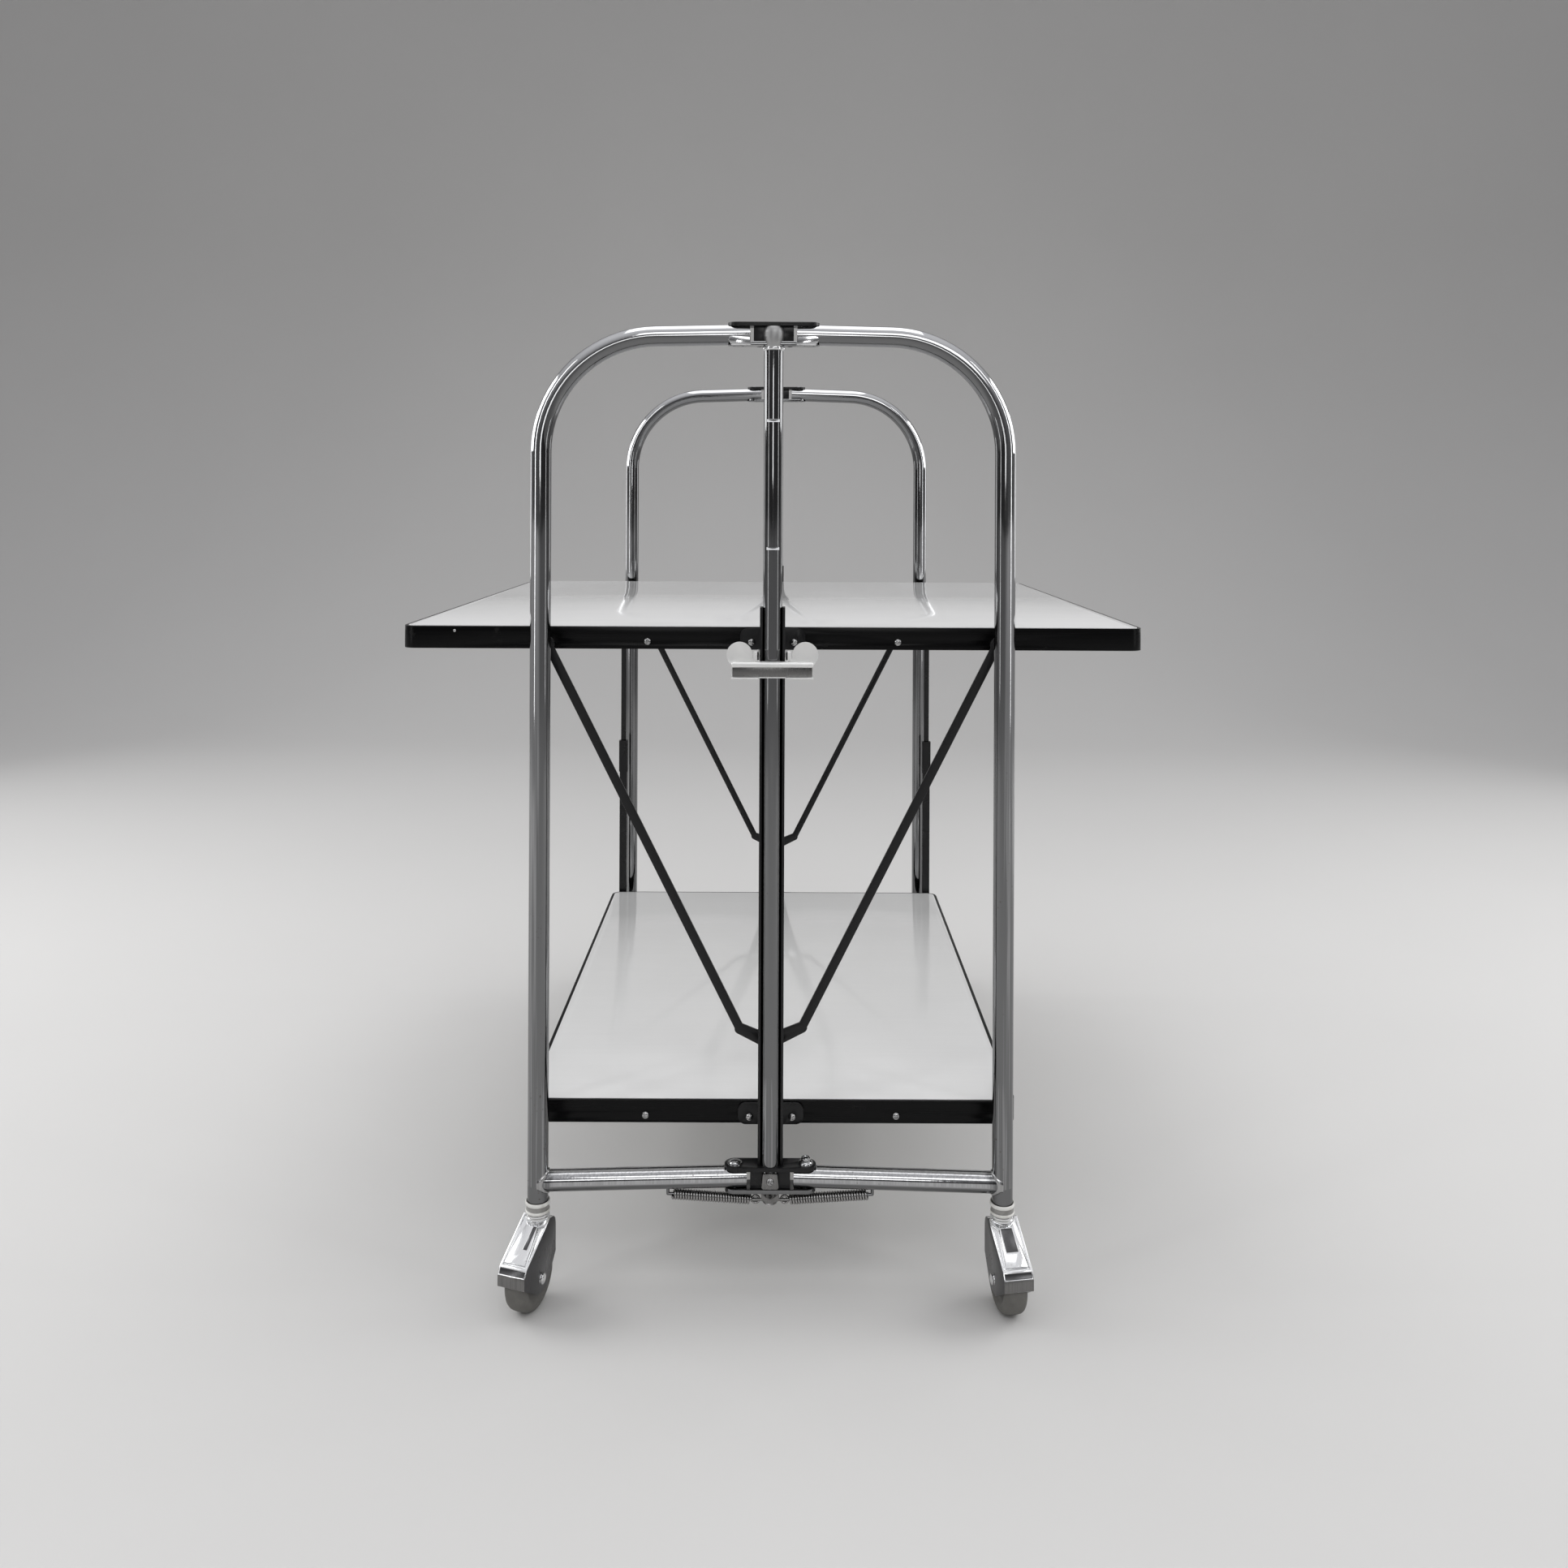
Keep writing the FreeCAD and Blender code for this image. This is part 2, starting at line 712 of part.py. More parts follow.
def stay_pin(z):
    bar_outer = stay_depth - stay_bar_half_thickness
    head_depth = bar_outer - sliding_play
    shank_length = depth_leaf_end + screw_length_in_leaf - head_depth
    shank = rod(V(stay_x, head_depth, z), Y_AXIS, stay_pin_radius, shank_length)
    head_start = V(stay_x, head_depth - stay_pin_head_height, z)
    head = rod(head_start, Y_AXIS, stay_pin_head_radius, stay_pin_head_height)
    shoulder_depth = stay_depth + stay_bar_half_thickness + sliding_play
    shoulder_length = depth_leaf_end - shoulder_depth
    shoulder = rod(V(stay_x, shoulder_depth, z), Y_AXIS, stay_shoulder_radius, shoulder_length)
    return fused([shank, head, shoulder])


# Stays, drawn on the right at the front
def stay_eye(z):
    start = V(stay_x, stay_depth - stay_bar_half_thickness, z)
    return rod(start, Y_AXIS, stay_eye_radius, 2 * stay_bar_half_thickness)


def stay_pin_hole(z):
    start = V(stay_x, stay_depth - stay_sleeve_half_thickness - overrun, z)
    length = 2 * (stay_sleeve_half_thickness + overrun)
    return rod(start, Y_AXIS, stay_pin_radius + running_fit, length)


def upright_bar(half_width, half_thickness, bottom_z, top_z):
    return box(
        stay_x - half_width,
        stay_x + half_width,
        stay_depth - half_thickness,
        stay_depth + half_thickness,
        bottom_z,
        top_z,
    )


def stay_bar():
    bottom_z = upper_hinge_z - stay_bar_length
    bar = upright_bar(stay_bar_half_width, stay_bar_half_thickness, bottom_z, upper_hinge_z)
    return fused([bar, stay_eye(upper_hinge_z)]).cut(stay_pin_hole(upper_hinge_z))


def stay_sleeve():
    floor_z = lower_hinge_z + stay_sleeve_floor_rise
    top_z = lower_hinge_z + stay_sleeve_top_rise
    collar_bottom_z = lower_hinge_z + stay_collar_bottom_rise
    tongue = upright_bar(stay_bar_half_width, stay_bar_half_thickness, lower_hinge_z, floor_z)
    tube = upright_bar(stay_sleeve_half_width, stay_sleeve_half_thickness, floor_z - overrun, top_z)
    collar = upright_bar(
        stay_sleeve_half_width + stay_collar_extra,
        stay_sleeve_half_thickness + stay_collar_extra / 2,
        collar_bottom_z,
        top_z,
    )
    cavity = upright_bar(
        stay_bar_half_width + sliding_play,
        stay_bar_half_thickness + sliding_play,
        floor_z + overrun,
        top_z + overrun,
    )
    body = fused([tongue, stay_eye(lower_hinge_z), tube, collar])
    return body.cut(cavity).cut(stay_pin_hole(lower_hinge_z))


# Struts, drawn on the right at the front
def tapered_bar(start, end, start_half_width, end_half_width, y0, y1):
    along = V(end - start).normalize()
    side = along.cross(Y_AXIS)
    points = [
        start + side * start_half_width,
        end + side * end_half_width,
        end - side * end_half_width,
        start - side * start_half_width,
    ]
    return prism(points, y0, y1)


def folding_strut(depth):
    far = depth + strut_thickness
    foot = V(0, 0, strut_pivot_z)
    bend = V(strut_bend_x, 0, strut_pivot_z + strut_bend_rise)
    top = V(strut_top_x, 0, upper_hinge_z)
    pieces = [tapered_bar(foot, bend, strut_foot_half_width, strut_bend_half_width, depth, far)]
    pieces.append(tapered_bar(bend, top, strut_half_width, strut_half_width, depth, far))
    discs = ((foot, strut_eye_radius), (bend, strut_bend_half_width), (top, strut_top_radius))
    for centre, radius in discs:
        pieces.append(rod(centre + V(0, depth, 0), Y_AXIS, radius, strut_thickness))
    head_start = top + V(0, depth - stud_head_height, 0)
    pieces.append(rod(head_start, Y_AXIS, stud_head_radius, stud_head_height))
    hole_start = foot + V(0, depth - overrun, 0)
    hole = rod(hole_start, Y_AXIS, strut_bolt_radius + running_fit, strut_thickness + 2 * overrun)
    return fused(pieces).cut(hole)


def strut_bolt():
    start_depth = post_radius - strut_bolt_depth
    shank = rod(V(0, start_depth, strut_pivot_z), Y_AXIS, strut_bolt_radius, depth_bolt_head - start_depth)
    head = rod(V(0, depth_bolt_head, strut_pivot_z), Y_AXIS, rivet_head_radius, rivet_head_height)
    return fused([shank, head])


# Castors, drawn with the swivel axis at the origin and the wheel trailing along X
def castor_collar():
    ring = rod(V(0, 0, collar_bottom_z), Z_AXIS, collar_radius, leg_bottom_z - collar_bottom_z)
    spigot = rod(V(0, 0, leg_bottom_z), Z_AXIS, collar_spigot_radius, collar_spigot_top_z - leg_bottom_z)
    bore_length = collar_spigot_top_z - collar_bottom_z + 2 * overrun
    bore = rod(V(0, 0, collar_bottom_z - overrun), Z_AXIS, stem_radius + running_fit, bore_length)
    return fused([ring, spigot]).cut(bore)


def castor_hood():
    points = [
        V(hood_back_x, 0, hood_back_top_z),
        hood_slope_start,
        hood_slope_end,
        V(hood_lip_x, 0, hood_lip_top_z),
        V(hood_lip_x, 0, hood_lip_bottom_z),
        hood_belly,
        hood_heel,
        V(hood_back_x, 0, hood_back_bottom_z),
    ]
    shell = prism(points, -hood_half_width, hood_half_width)
    long_edges = [edge for edge in shell.Edges if edge.BoundBox.YLength < running_fit]
    shell = shell.makeFillet(hood_edge_radius, long_edges)
    inner = hood_half_width - hood_cheek
    cavity = rod(V(wheel_trail, -inner, wheel_radius), Y_AXIS, wheel_radius + hood_wheel_room, inner * 2)
    axle_start = V(wheel_trail, -hood_half_width - overrun, wheel_radius)
    axle_hole = rod(axle_start, Y_AXIS, axle_radius + running_fit, 2 * (hood_half_width + overrun))
    stem = rod(V(0, 0, hood_top_z - overrun), Z_AXIS, stem_radius, stem_top_z - hood_top_z + overrun)
    neck = rod(V(0, 0, neck_bottom_z), Z_AXIS, neck_radius, hood_top_z - neck_bottom_z)
    return fused([shell, neck, stem]).cut(cavity).cut(axle_hole)


def castor_axle():
    start = V(wheel_trail, -hood_half_width, wheel_radius)
    shank = rod(start, Y_AXIS, axle_radius, 2 * hood_half_width)
    heads = []
    for side in (-1, 1):
        head_start = V(wheel_trail, side * hood_half_width, wheel_radius)
        heads.append(rod(head_start, V(0, side, 0), axle_head_radius, axle_head_height))
    return fused([shank] + heads)


def castor_wheel():
    start = V(wheel_trail, -wheel_half_width, wheel_radius)
    disc = rod(start, Y_AXIS, wheel_radius, 2 * wheel_half_width)
    rims = [edge for edge in disc.Edges if edge.BoundBox.YLength < running_fit]
    tyre = disc.makeFillet(wheel_edge_radius, rims)
    bore_start = start - V(0, overrun, 0)
    bore = rod(bore_start, Y_AXIS, axle_radius + running_fit, 2 * (wheel_half_width + overrun))
    return tyre.cut(bore)


def on_leg(shape, x_side, y_side, angle_deg):
    reach = leg_x - frame_pivot_x
    toe = math.radians(toe_out_deg)
    x = frame_pivot_x + reach * math.cos(toe)
    y = end_y + reach * math.sin(toe)
    placed = shape.copy()
    placed.rotate(V(0, 0, 0), Z_AXIS, angle_deg)
    placed.translate(V(x_side * x, y_side * y, 0))
    return placed


os.makedirs("parts", exist_ok=True)

# The stand: posts, fixed channels, hinge plates and what is fixed to them
posts = both_ends(post())
channels = both_ends(fixed_channel())
sliders = both_ends(sliding_channel())
latches = both_ends(latch_handle())
for end, index in (("front", 0), ("rear", 1)):
    export(end + "_post", [posts[index]])
    export(end + "_channel", [channels[index]])
    export(end + "_slider", [sliders[index]])
    export(end + "_latch", [latches[index]])
export("hinge_cap_plates", both_ends(hinge_plate(arch_cap_z)) + both_ends(drilled_plate(base_cap_z)))
base_plates = both_ends(drilled_plate(arch_foot_z - plate_thickness))
base_plates += both_ends(hinge_plate(base_foot_z - plate_thickness))
export("hinge_base_plates", base_plates)
blocks = []
for bottom_z, height in ((arch_foot_z, arch_plate_gap), (base_foot_z, base_plate_gap)):
    for half in hinge_block(bottom_z, height):
        blocks += both_ends(half)
export("hinge_blocks", blocks)
pins = []
for x in (-frame_pivot_x, frame_pivot_x):
    pins += both_ends(pivot_pin(x, arch_foot_z, arch_cap_z, arch_rivet_head_height))
    head_height = rivet_head_height if x < 0 else bolt_head_height
    pins += both_ends(pivot_pin(x, base_foot_z, base_cap_z, head_height))
export("frame_pivot_pins", pins)
tab_screw = screw_head(0, -post_radius - tab_thickness, strut_tube_z, -1)
export("post_tabs_and_screws", both_ends(post_tab()) + both_ends(tab_screw))
export("spring_clips", both_ends(spring_clip()))
export("strut_bolts", both_ends(strut_bolt()))
export("base_rail", [rail(lower_rail_top_z)])

# The sliding carriage
export("tray_rail", [rail(upper_rail_top_z)])
latch_pins = []
for pin in both_ends(latch_pin()):
    latch_pins += both_sides(pin)
export("latch_pins", latch_pins)

# Leaves, stays and struts on both sides
sides = (("right", same_side, depth_right_strut), ("left", other_side, depth_left_strut))
upper_xs = (
    (leaf_hinge_x, hinge_screw_radius),
    (fixing_x, hinge_screw_radius),
    (strut_top_x, stud_radius),
    (stay_x, stay_pin_radius),
)
lower_xs = (
    (leaf_hinge_x, hinge_screw_radius),
    (fixing_x, hinge_screw_radius),
    (stay_x, stay_pin_radius),
)
levels = (
    ("upper", upper_seam_x, upper_half_x, upper_top_z, upper_xs),
    ("lower", lower_seam_x, lower_half_x, lower_top_z, lower_xs),
)
for side, placed, strut_depth in sides:
    for level, seam_x, outer_x, top_z, screw_xs in levels:
        board = leaf_board(seam_x, outer_x, top_z, screw_xs)
        edging = leaf_edging(seam_x, outer_x, top_z, screw_xs)
        export(level + "_" + side + "_board", [placed(board)])
        export(level + "_" + side + "_edging", [placed(edging)])
    upper_fasteners = [hinge_screw(upper_hinge_z), fixing_screw(upper_hinge_z)]
    upper_fasteners += [strut_stud(upper_hinge_z, strut_depth), stay_pin(upper_hinge_z)]
    lower_fasteners = [hinge_screw(lower_hinge_z), fixing_screw(lower_hinge_z), stay_pin(lower_hinge_z)]
    for level, fasteners in (("upper", upper_fasteners), ("lower", lower_fasteners)):
        solids = [placed(solid) for fastener in fasteners for solid in both_ends(fastener)]
        export(level + "_" + side + "_fasteners", solids)
    export(side + "_stay_bars", [placed(solid) for solid in both_ends(stay_bar())])
    export(side + "_stay_sleeves", [placed(solid) for solid in both_ends(stay_sleeve())])
    export(side + "_struts", [placed(solid) for solid in both_ends(folding_strut(strut_depth))])

# Half frames with their springs, collars and castors
corners = (
    ("front_left", -1, -1, front_left_castor_deg),
    ("front_right", 1, -1, front_right_castor_deg),
    ("rear_left", -1, 1, front_right_castor_deg - half_turn_deg),
    ("rear_right", 1, 1, front_left_castor_deg - half_turn_deg),
)
frame_shape = half_frame()
spring_shape = spring()
for corner, x_side, y_side, castor_deg in corners:
    export(corner + "_frame", [on_corner(frame_shape, x_side, y_side)])
    export(corner + "_spring", [on_corner(spring_shape, x_side, y_side)])
    for name, shape in (
        ("collar", castor_collar()),
        ("hood", castor_hood()),
        ("axle", castor_axle()),
        ("wheel", castor_wheel()),
    ):
        export(corner + "_" + name, [on_leg(shape, x_side, y_side, castor_deg)])

print("lift of the carriage, mm:", round(lift, 3))
print("turn of a strut, degrees:", round(math.degrees(strut_turn), 4))
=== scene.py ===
# %% [markdown]
# # A drop leaf tea trolley
# The trolley is a folding one: two chromed arches on castors, two split trays, black struts and stays.
# The measured construction comes from the CAD frame, which is loaded first and never changed.
# Everything here is metres, X across, Y from the front end to the rear end, Z up from the floor.
# Outlines and profiles, and the places that go with them, are in millimetres and scaled when drawn.

import json
import math

import bpy
from mathutils import Matrix, Vector


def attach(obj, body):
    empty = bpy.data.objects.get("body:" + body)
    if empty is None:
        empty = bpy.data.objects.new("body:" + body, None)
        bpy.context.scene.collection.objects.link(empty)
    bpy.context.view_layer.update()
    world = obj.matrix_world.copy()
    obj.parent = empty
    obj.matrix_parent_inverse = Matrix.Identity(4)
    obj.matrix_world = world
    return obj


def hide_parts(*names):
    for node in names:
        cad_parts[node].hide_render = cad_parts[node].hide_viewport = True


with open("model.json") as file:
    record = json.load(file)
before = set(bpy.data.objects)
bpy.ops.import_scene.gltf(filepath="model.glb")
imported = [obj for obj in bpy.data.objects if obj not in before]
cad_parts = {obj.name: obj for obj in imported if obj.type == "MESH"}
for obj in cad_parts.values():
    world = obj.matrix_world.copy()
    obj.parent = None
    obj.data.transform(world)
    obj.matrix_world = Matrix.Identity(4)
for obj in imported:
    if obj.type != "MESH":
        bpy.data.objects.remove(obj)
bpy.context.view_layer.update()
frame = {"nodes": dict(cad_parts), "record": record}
nodes = frame["nodes"]
joints = frame["record"]["behaviour"]["joints"]
joint_place = {joint["name"]: joint["pos_m"] for joint in joints if "pos_m" in joint}
MM = 0.001
QUARTER_TURN = math.radians(90)

# %% [markdown]
# ## The camera
# The photograph was taken from the end of the trolley, level, a little above the upper tray.
# The lines of both trays meet on the horizon, which lies well above the middle of the picture,
# so the lens is shifted down instead of tilting the camera: upright tubes then stay upright.
# The picture hangs a quarter of a degree, and a small roll follows that.

# %% Camera
CAMERA_PLACE = (0.006, -1.309, 0.619)
ROLL = math.radians(-0.25)
bpy.ops.object.camera_add(location=CAMERA_PLACE, rotation=(QUARTER_TURN, ROLL, 0))
camera = bpy.context.object
camera.name = "photo_view"
camera.data.sensor_width = 36
camera.data.lens = 29.8
camera.data.shift_x = 0.002
camera.data.shift_y = -0.184
camera.data.dof.use_dof = False
bpy.context.scene.camera = camera
bpy.context.scene.view_settings.view_transform = "Standard"
print("camera at", CAMERA_PLACE)

# %% [markdown]
# ## Selecting by place
# Modelling by hand means picking faces and edges with the mouse. In a script the pick is a question
# about place or direction, so a few small helpers turn such a question into a selection.

# %% Selection helpers
FACING = 0.99


def object_mode():
    bpy.ops.object.mode_set(mode="OBJECT")


def edit_mode():
    bpy.ops.object.mode_set(mode="EDIT")


def select_whole_mesh():
    bpy.ops.mesh.select_all(action="SELECT")


def deselect_everything():
    if bpy.context.object and bpy.context.object.mode != "OBJECT":
        object_mode()
    bpy.ops.object.select_all(action="DESELECT")


def only(piece):
    deselect_everything()
    piece.select_set(True)
    bpy.context.view_layer.objects.active = piece
    return piece


def select_faces(piece, wanted):
    object_mode()
    for element in [*piece.data.vertices, *piece.data.edges]:
        element.select = False
    for face in piece.data.polygons:
        face.select = bool(wanted(face.center, face.normal))
    edit_mode()
    bpy.ops.mesh.select_mode(type="FACE")


def select_points(piece, wanted):
    object_mode()
    for element in [*piece.data.polygons, *piece.data.edges]:
        element.select = False
    for vertex in piece.data.vertices:
        vertex.select = bool(wanted(vertex.co))
    edit_mode()
    bpy.ops.mesh.select_mode(type="VERT")


def near_any(point, spots, reach):
    return any((point - spot).length < reach for spot in spots)


def paint_selected(piece, finish_index):
    piece.active_material_index = finish_index
    bpy.ops.object.material_slot_assign()


# %% [markdown]
# ## Drawing, turning and rounding
# Nearly every small part of the trolley was either stamped from sheet or turned on a lathe. So two
# helpers cover most of the modelling: an outline drawn point by point and extruded, as sheet is
# stamped, and a profile drawn point by point and spun, as a rivet is turned. The drawing starts
# from a small plane that is merged into one point, which is then extruded from place to place.
# A profile starts and ends on its axis, or ends where it started, so that every piece is closed.
# A bar is a plain cylinder, and an end that a cut or a part turn leaves open is filled afterwards.
# Edges are rounded with a bevel, because a sharp edge never catches light.

# %% Drawing helpers
ORIGIN = (0, 0, 0)
MERGE_DISTANCE = 0.01 * MM


def settle():
    bpy.ops.object.transform_apply(location=True, rotation=True, scale=True)


def push(vector):
    bpy.ops.mesh.extrude_region_move(TRANSFORM_OT_translate={"value": vector})


def at_depth(outline, y):
    return [(x * MM, y * MM, z * MM) for x, z in outline]


def draw_line(name, points):
    deselect_everything()
    bpy.ops.mesh.primitive_plane_add(size=MM, location=points[0])
    piece = bpy.context.object
    piece.name = name
    settle()
    edit_mode()
    bpy.ops.mesh.select_mode(type="VERT")
    select_whole_mesh()
    bpy.ops.mesh.merge(type="CENTER")
    for here, there in zip(points[:-1], points[1:]):
        push(Vector(there) - Vector(here))
    return piece


def merge_and_turn_outwards():
    select_whole_mesh()
    bpy.ops.mesh.remove_doubles(threshold=MERGE_DISTANCE)
    bpy.ops.mesh.normals_make_consistent(inside=False)


def close_ends():
    edit_mode()
    select_whole_mesh()
    bpy.ops.mesh.fill_holes(sides=0)
    merge_and_turn_outwards()
    object_mode()


# %% Shaping helpers
UP = (0, 0, 1)
LENGTHWISE = (0, 1, 0)
SMOOTH_BELOW = math.radians(38)
BEVEL_ABOVE = math.radians(32)


def stamped(name, outline, thickness):
    piece = draw_line(name, outline + [outline[0]])
    select_whole_mesh()
    bpy.ops.mesh.remove_doubles(threshold=MERGE_DISTANCE)
    select_whole_mesh()
    bpy.ops.mesh.edge_face_add()
    push(thickness)
    merge_and_turn_outwards()
    object_mode()
    return piece


def turned(name, profile, centre, axis, steps):
    piece = draw_line(name, profile)
    select_whole_mesh()
    bpy.ops.mesh.spin(steps=steps, angle=2 * math.pi, center=centre, axis=axis)
    merge_and_turn_outwards()
    object_mode()
    bpy.ops.object.shade_smooth_by_angle(angle=SMOOTH_BELOW)
    return piece


def round_bar(name, place, turn, radius, length, sides=56):
    deselect_everything()
    bpy.ops.mesh.primitive_cylinder_add(
        vertices=sides, radius=radius, depth=length, location=place, rotation=turn
    )
    bar = bpy.context.object
    bar.name = name
    settle()
    return bar


def rounded(piece, width, segments=2):
    only(piece)
    bevel = piece.modifiers.new("rounded_edges", "BEVEL")
    bevel.width = width
    bevel.segments = segments
    bevel.limit_method = "ANGLE"
    bevel.angle_limit = BEVEL_ABOVE
    bpy.ops.object.modifier_apply(modifier=bevel.name)
    bpy.ops.object.shade_smooth_by_angle(angle=SMOOTH_BELOW)
    return piece


def rounded_box(name, low, high, width):
    outline = [(low[0], low[2]), (high[0], low[2]), (high[0], high[2]), (low[0], high[2])]
    piece = stamped(name, at_depth(outline, low[1]), (0, (high[1] - low[1]) * MM, 0))
    return rounded(piece, width * MM, 3)


# %% [markdown]
# ## Joining, cutting and copying
# A part that occurs more than once is modelled once, at the origin, and then copied to its places.
# A finished piece gets its finish and the body that it rides on, and the frame's nodes that it
# takes the place of are hidden.

# %% Helpers for finished pieces
def joined(pieces, name):
    only(pieces[0])
    for piece in pieces[1:]:
        piece.select_set(True)
    bpy.ops.object.join()
    pieces[0].name = name
    pieces[0].data.name = name
    return pieces[0]


def combined(piece, other, operation):
    only(piece)
    both = piece.modifiers.new("both", "BOOLEAN")
    both.operation = operation
    both.solver = "EXACT"
    both.object = other
    bpy.ops.object.modifier_apply(modifier=both.name)
    discard(other)
    return only(piece)


def copied(piece, name, place):
    only(piece)
    bpy.ops.object.duplicate()
    copy = bpy.context.object
    copy.name = name
    copy.data.name = name
    copy.matrix_world = place
    settle()
    return copy


def discard(piece):
    only(piece)
    bpy.ops.object.delete()


def dressed(piece, finish, slot, body, *replaced):
    if finish:
        piece.data.materials.clear()
        piece.data.materials.append(finish)
    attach(piece, body)
    if replaced:
        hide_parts(*replaced)


# %% [markdown]
# ## Places of the corners
# Each leg stands on a castor and swings on two pins of the post. Their places come from the joints
# of the frame, so that a part modelled once can be set on all four corners.

# %% Corner places
corners = ("front_left", "front_right", "rear_left", "rear_right")


def flat_angle(start, end):
    return math.atan2(end[1] - start[1], end[0] - start[0])


def frame_place(corner):
    pivot = joint_place[corner + "_frame_swing"]
    leg = joint_place[corner + "_castor_swivel"]
    to_pivot = Matrix.Translation((pivot[0], pivot[1], 0))
    swing = Matrix.Rotation(flat_angle(pivot, leg), 4, "Z")
    return to_pivot @ swing @ Matrix.Translation((-abs(pivot[0]), 0, 0))


def castor_place(corner):
    leg = joint_place[corner + "_castor_swivel"]
    axle = joint_place[corner + "_wheel_roll"]
    return Matrix.Translation((leg[0], leg[1], 0)) @ Matrix.Rotation(flat_angle(leg, axle), 4, "Z")


def at_both_ends(piece):
    copies = [copied(piece, "copy", place) for place in end_places.values()]
    discard(piece)
    return copies


END_Y = abs(joint_place["front_left_frame_swing"][1])
end_places = {
    "front": Matrix.Translation((0, -END_Y, 0)),
    "rear": Matrix.Translation((0, END_Y, 0)) @ Matrix.Rotation(math.pi, 4, "Z"),
}
print("end frames at y", END_Y)

# %% [markdown]
# ## Finishes
# A few finishes cover the trolley. Each is a node material on Object coordinates, so its pattern has
# the same scale on every piece, and each has the small faults that a used trolley shows.

# %% Helpers for node materials
def new_finish(name):
    finish = bpy.data.materials.new(name)
    finish.use_nodes = True
    tree = finish.node_tree
    shader = tree.nodes["Principled BSDF"]
    place = tree.nodes.new("ShaderNodeTexCoord").outputs["Object"]
    return finish, tree, shader, place


def stretched(tree, place, scale):
    mapping = tree.nodes.new("ShaderNodeMapping")
    mapping.inputs["Scale"].default_value = scale
    tree.links.new(place, mapping.inputs["Vector"])
    return mapping.outputs["Vector"]


def noise(tree, place, scale, detail=4.0, roughness=0.55):
    texture = tree.nodes.new("ShaderNodeTexNoise")
    texture.inputs["Scale"].default_value = scale
    texture.inputs["Detail"].default_value = detail
    texture.inputs["Roughness"].default_value = roughness
    tree.links.new(place, texture.inputs["Vector"])
    return texture.outputs["Fac"]


def remap(tree, value, low, high, to_low, to_high):
    ranged = tree.nodes.new("ShaderNodeMapRange")
    ranged.inputs["From Min"].default_value = low
    ranged.inputs["From Max"].default_value = high
    ranged.inputs["To Min"].default_value = to_low
    ranged.inputs["To Max"].default_value = to_high
    tree.links.new(value, ranged.inputs["Value"])
    return ranged.outputs["Result"]


def combine(tree, operation, first, second):
    node = tree.nodes.new("ShaderNodeMath")
    node.operation = operation
    tree.links.new(first, node.inputs[0])
    if isinstance(second, float):
        node.inputs[1].default_value = second
    else:
        tree.links.new(second, node.inputs[1])
    return node.outputs["Value"]


def blend_colours(tree, share, first, second):
    mix = tree.nodes.new("ShaderNodeMix")
    mix.data_type = "RGBA"
    tree.links.new(share, mix.inputs["Factor"])
    for socket, colour in ((mix.inputs[6], first), (mix.inputs[7], second)):
        if isinstance(colour, tuple):
            socket.default_value = colour + (1.0,)
        else:
            tree.links.new(colour, socket)
    return mix.outputs[2]


def colour_and_gloss(tree, shader, colour, rough):
    tree.links.new(colour, shader.inputs["Base Color"])
    tree.links.new(rough, shader.inputs["Roughness"])


def bump(tree, shader, height, strength, distance):
    node = tree.nodes.new("ShaderNodeBump")
    node.inputs["Strength"].default_value = strength
    node.inputs["Distance"].default_value = distance
    tree.links.new(height, node.inputs["Height"])
    tree.links.new(node.outputs["Normal"], shader.inputs["Normal"])


# %% [markdown]
# ### Chrome
# The tubes are bright chrome plate on steel. Chromium mirrors little more than half of the light, so
# its colour is a mid grey. Up close it is not a perfect mirror: wiping leaves fine lines along the
# tube, and near the floor the plate is pitted with small specks. Its colour is also painted darker,
# as painted shade and painted dark reflection: in streaks low on the legs, and on the posts, the
# undersides of the bottom struts and the inner side of the arches. The inner side is all that lies
# nearer to the middle of the arch's bend than the tube's own centre line does.

# %% Where chrome gets painted shade
BEND_X = 0.0893
BEND_Z = 0.6525
BEND_RADIUS = 0.090
ABOVE_STRUT = (0.13, 0.17)
STRUT_MIDDLE = (0.0880, 0.0900)
LEG_EDGE = (0.165, 0.171)
POST_EDGE = (0.009, 0.013)
BESIDE_TUBES = 0.35
PAINTED_SHADE_FADE = (0.30, 0.60)
STREAK_STRETCH = (700.0, 700.0, 5.0)


def inner_side(tree, off_middle, height):
    across = remap(tree, off_middle, BEND_X, BEND_X + 1.0, 0.0, 1.0)
    above = remap(tree, height, BEND_Z, BEND_Z + 1.0, 0.0, 1.0)
    across_squared = combine(tree, "MULTIPLY", across, across)
    above_squared = combine(tree, "MULTIPLY", above, above)
    reach = combine(tree, "POWER", combine(tree, "ADD", across_squared, above_squared), 0.5)
    inside = remap(tree, reach, BEND_RADIUS - 0.0015, BEND_RADIUS + 0.001, 1.0, 0.0)
    return combine(tree, "MULTIPLY", inside, remap(tree, height, *ABOVE_STRUT, 0.0, 1.0))
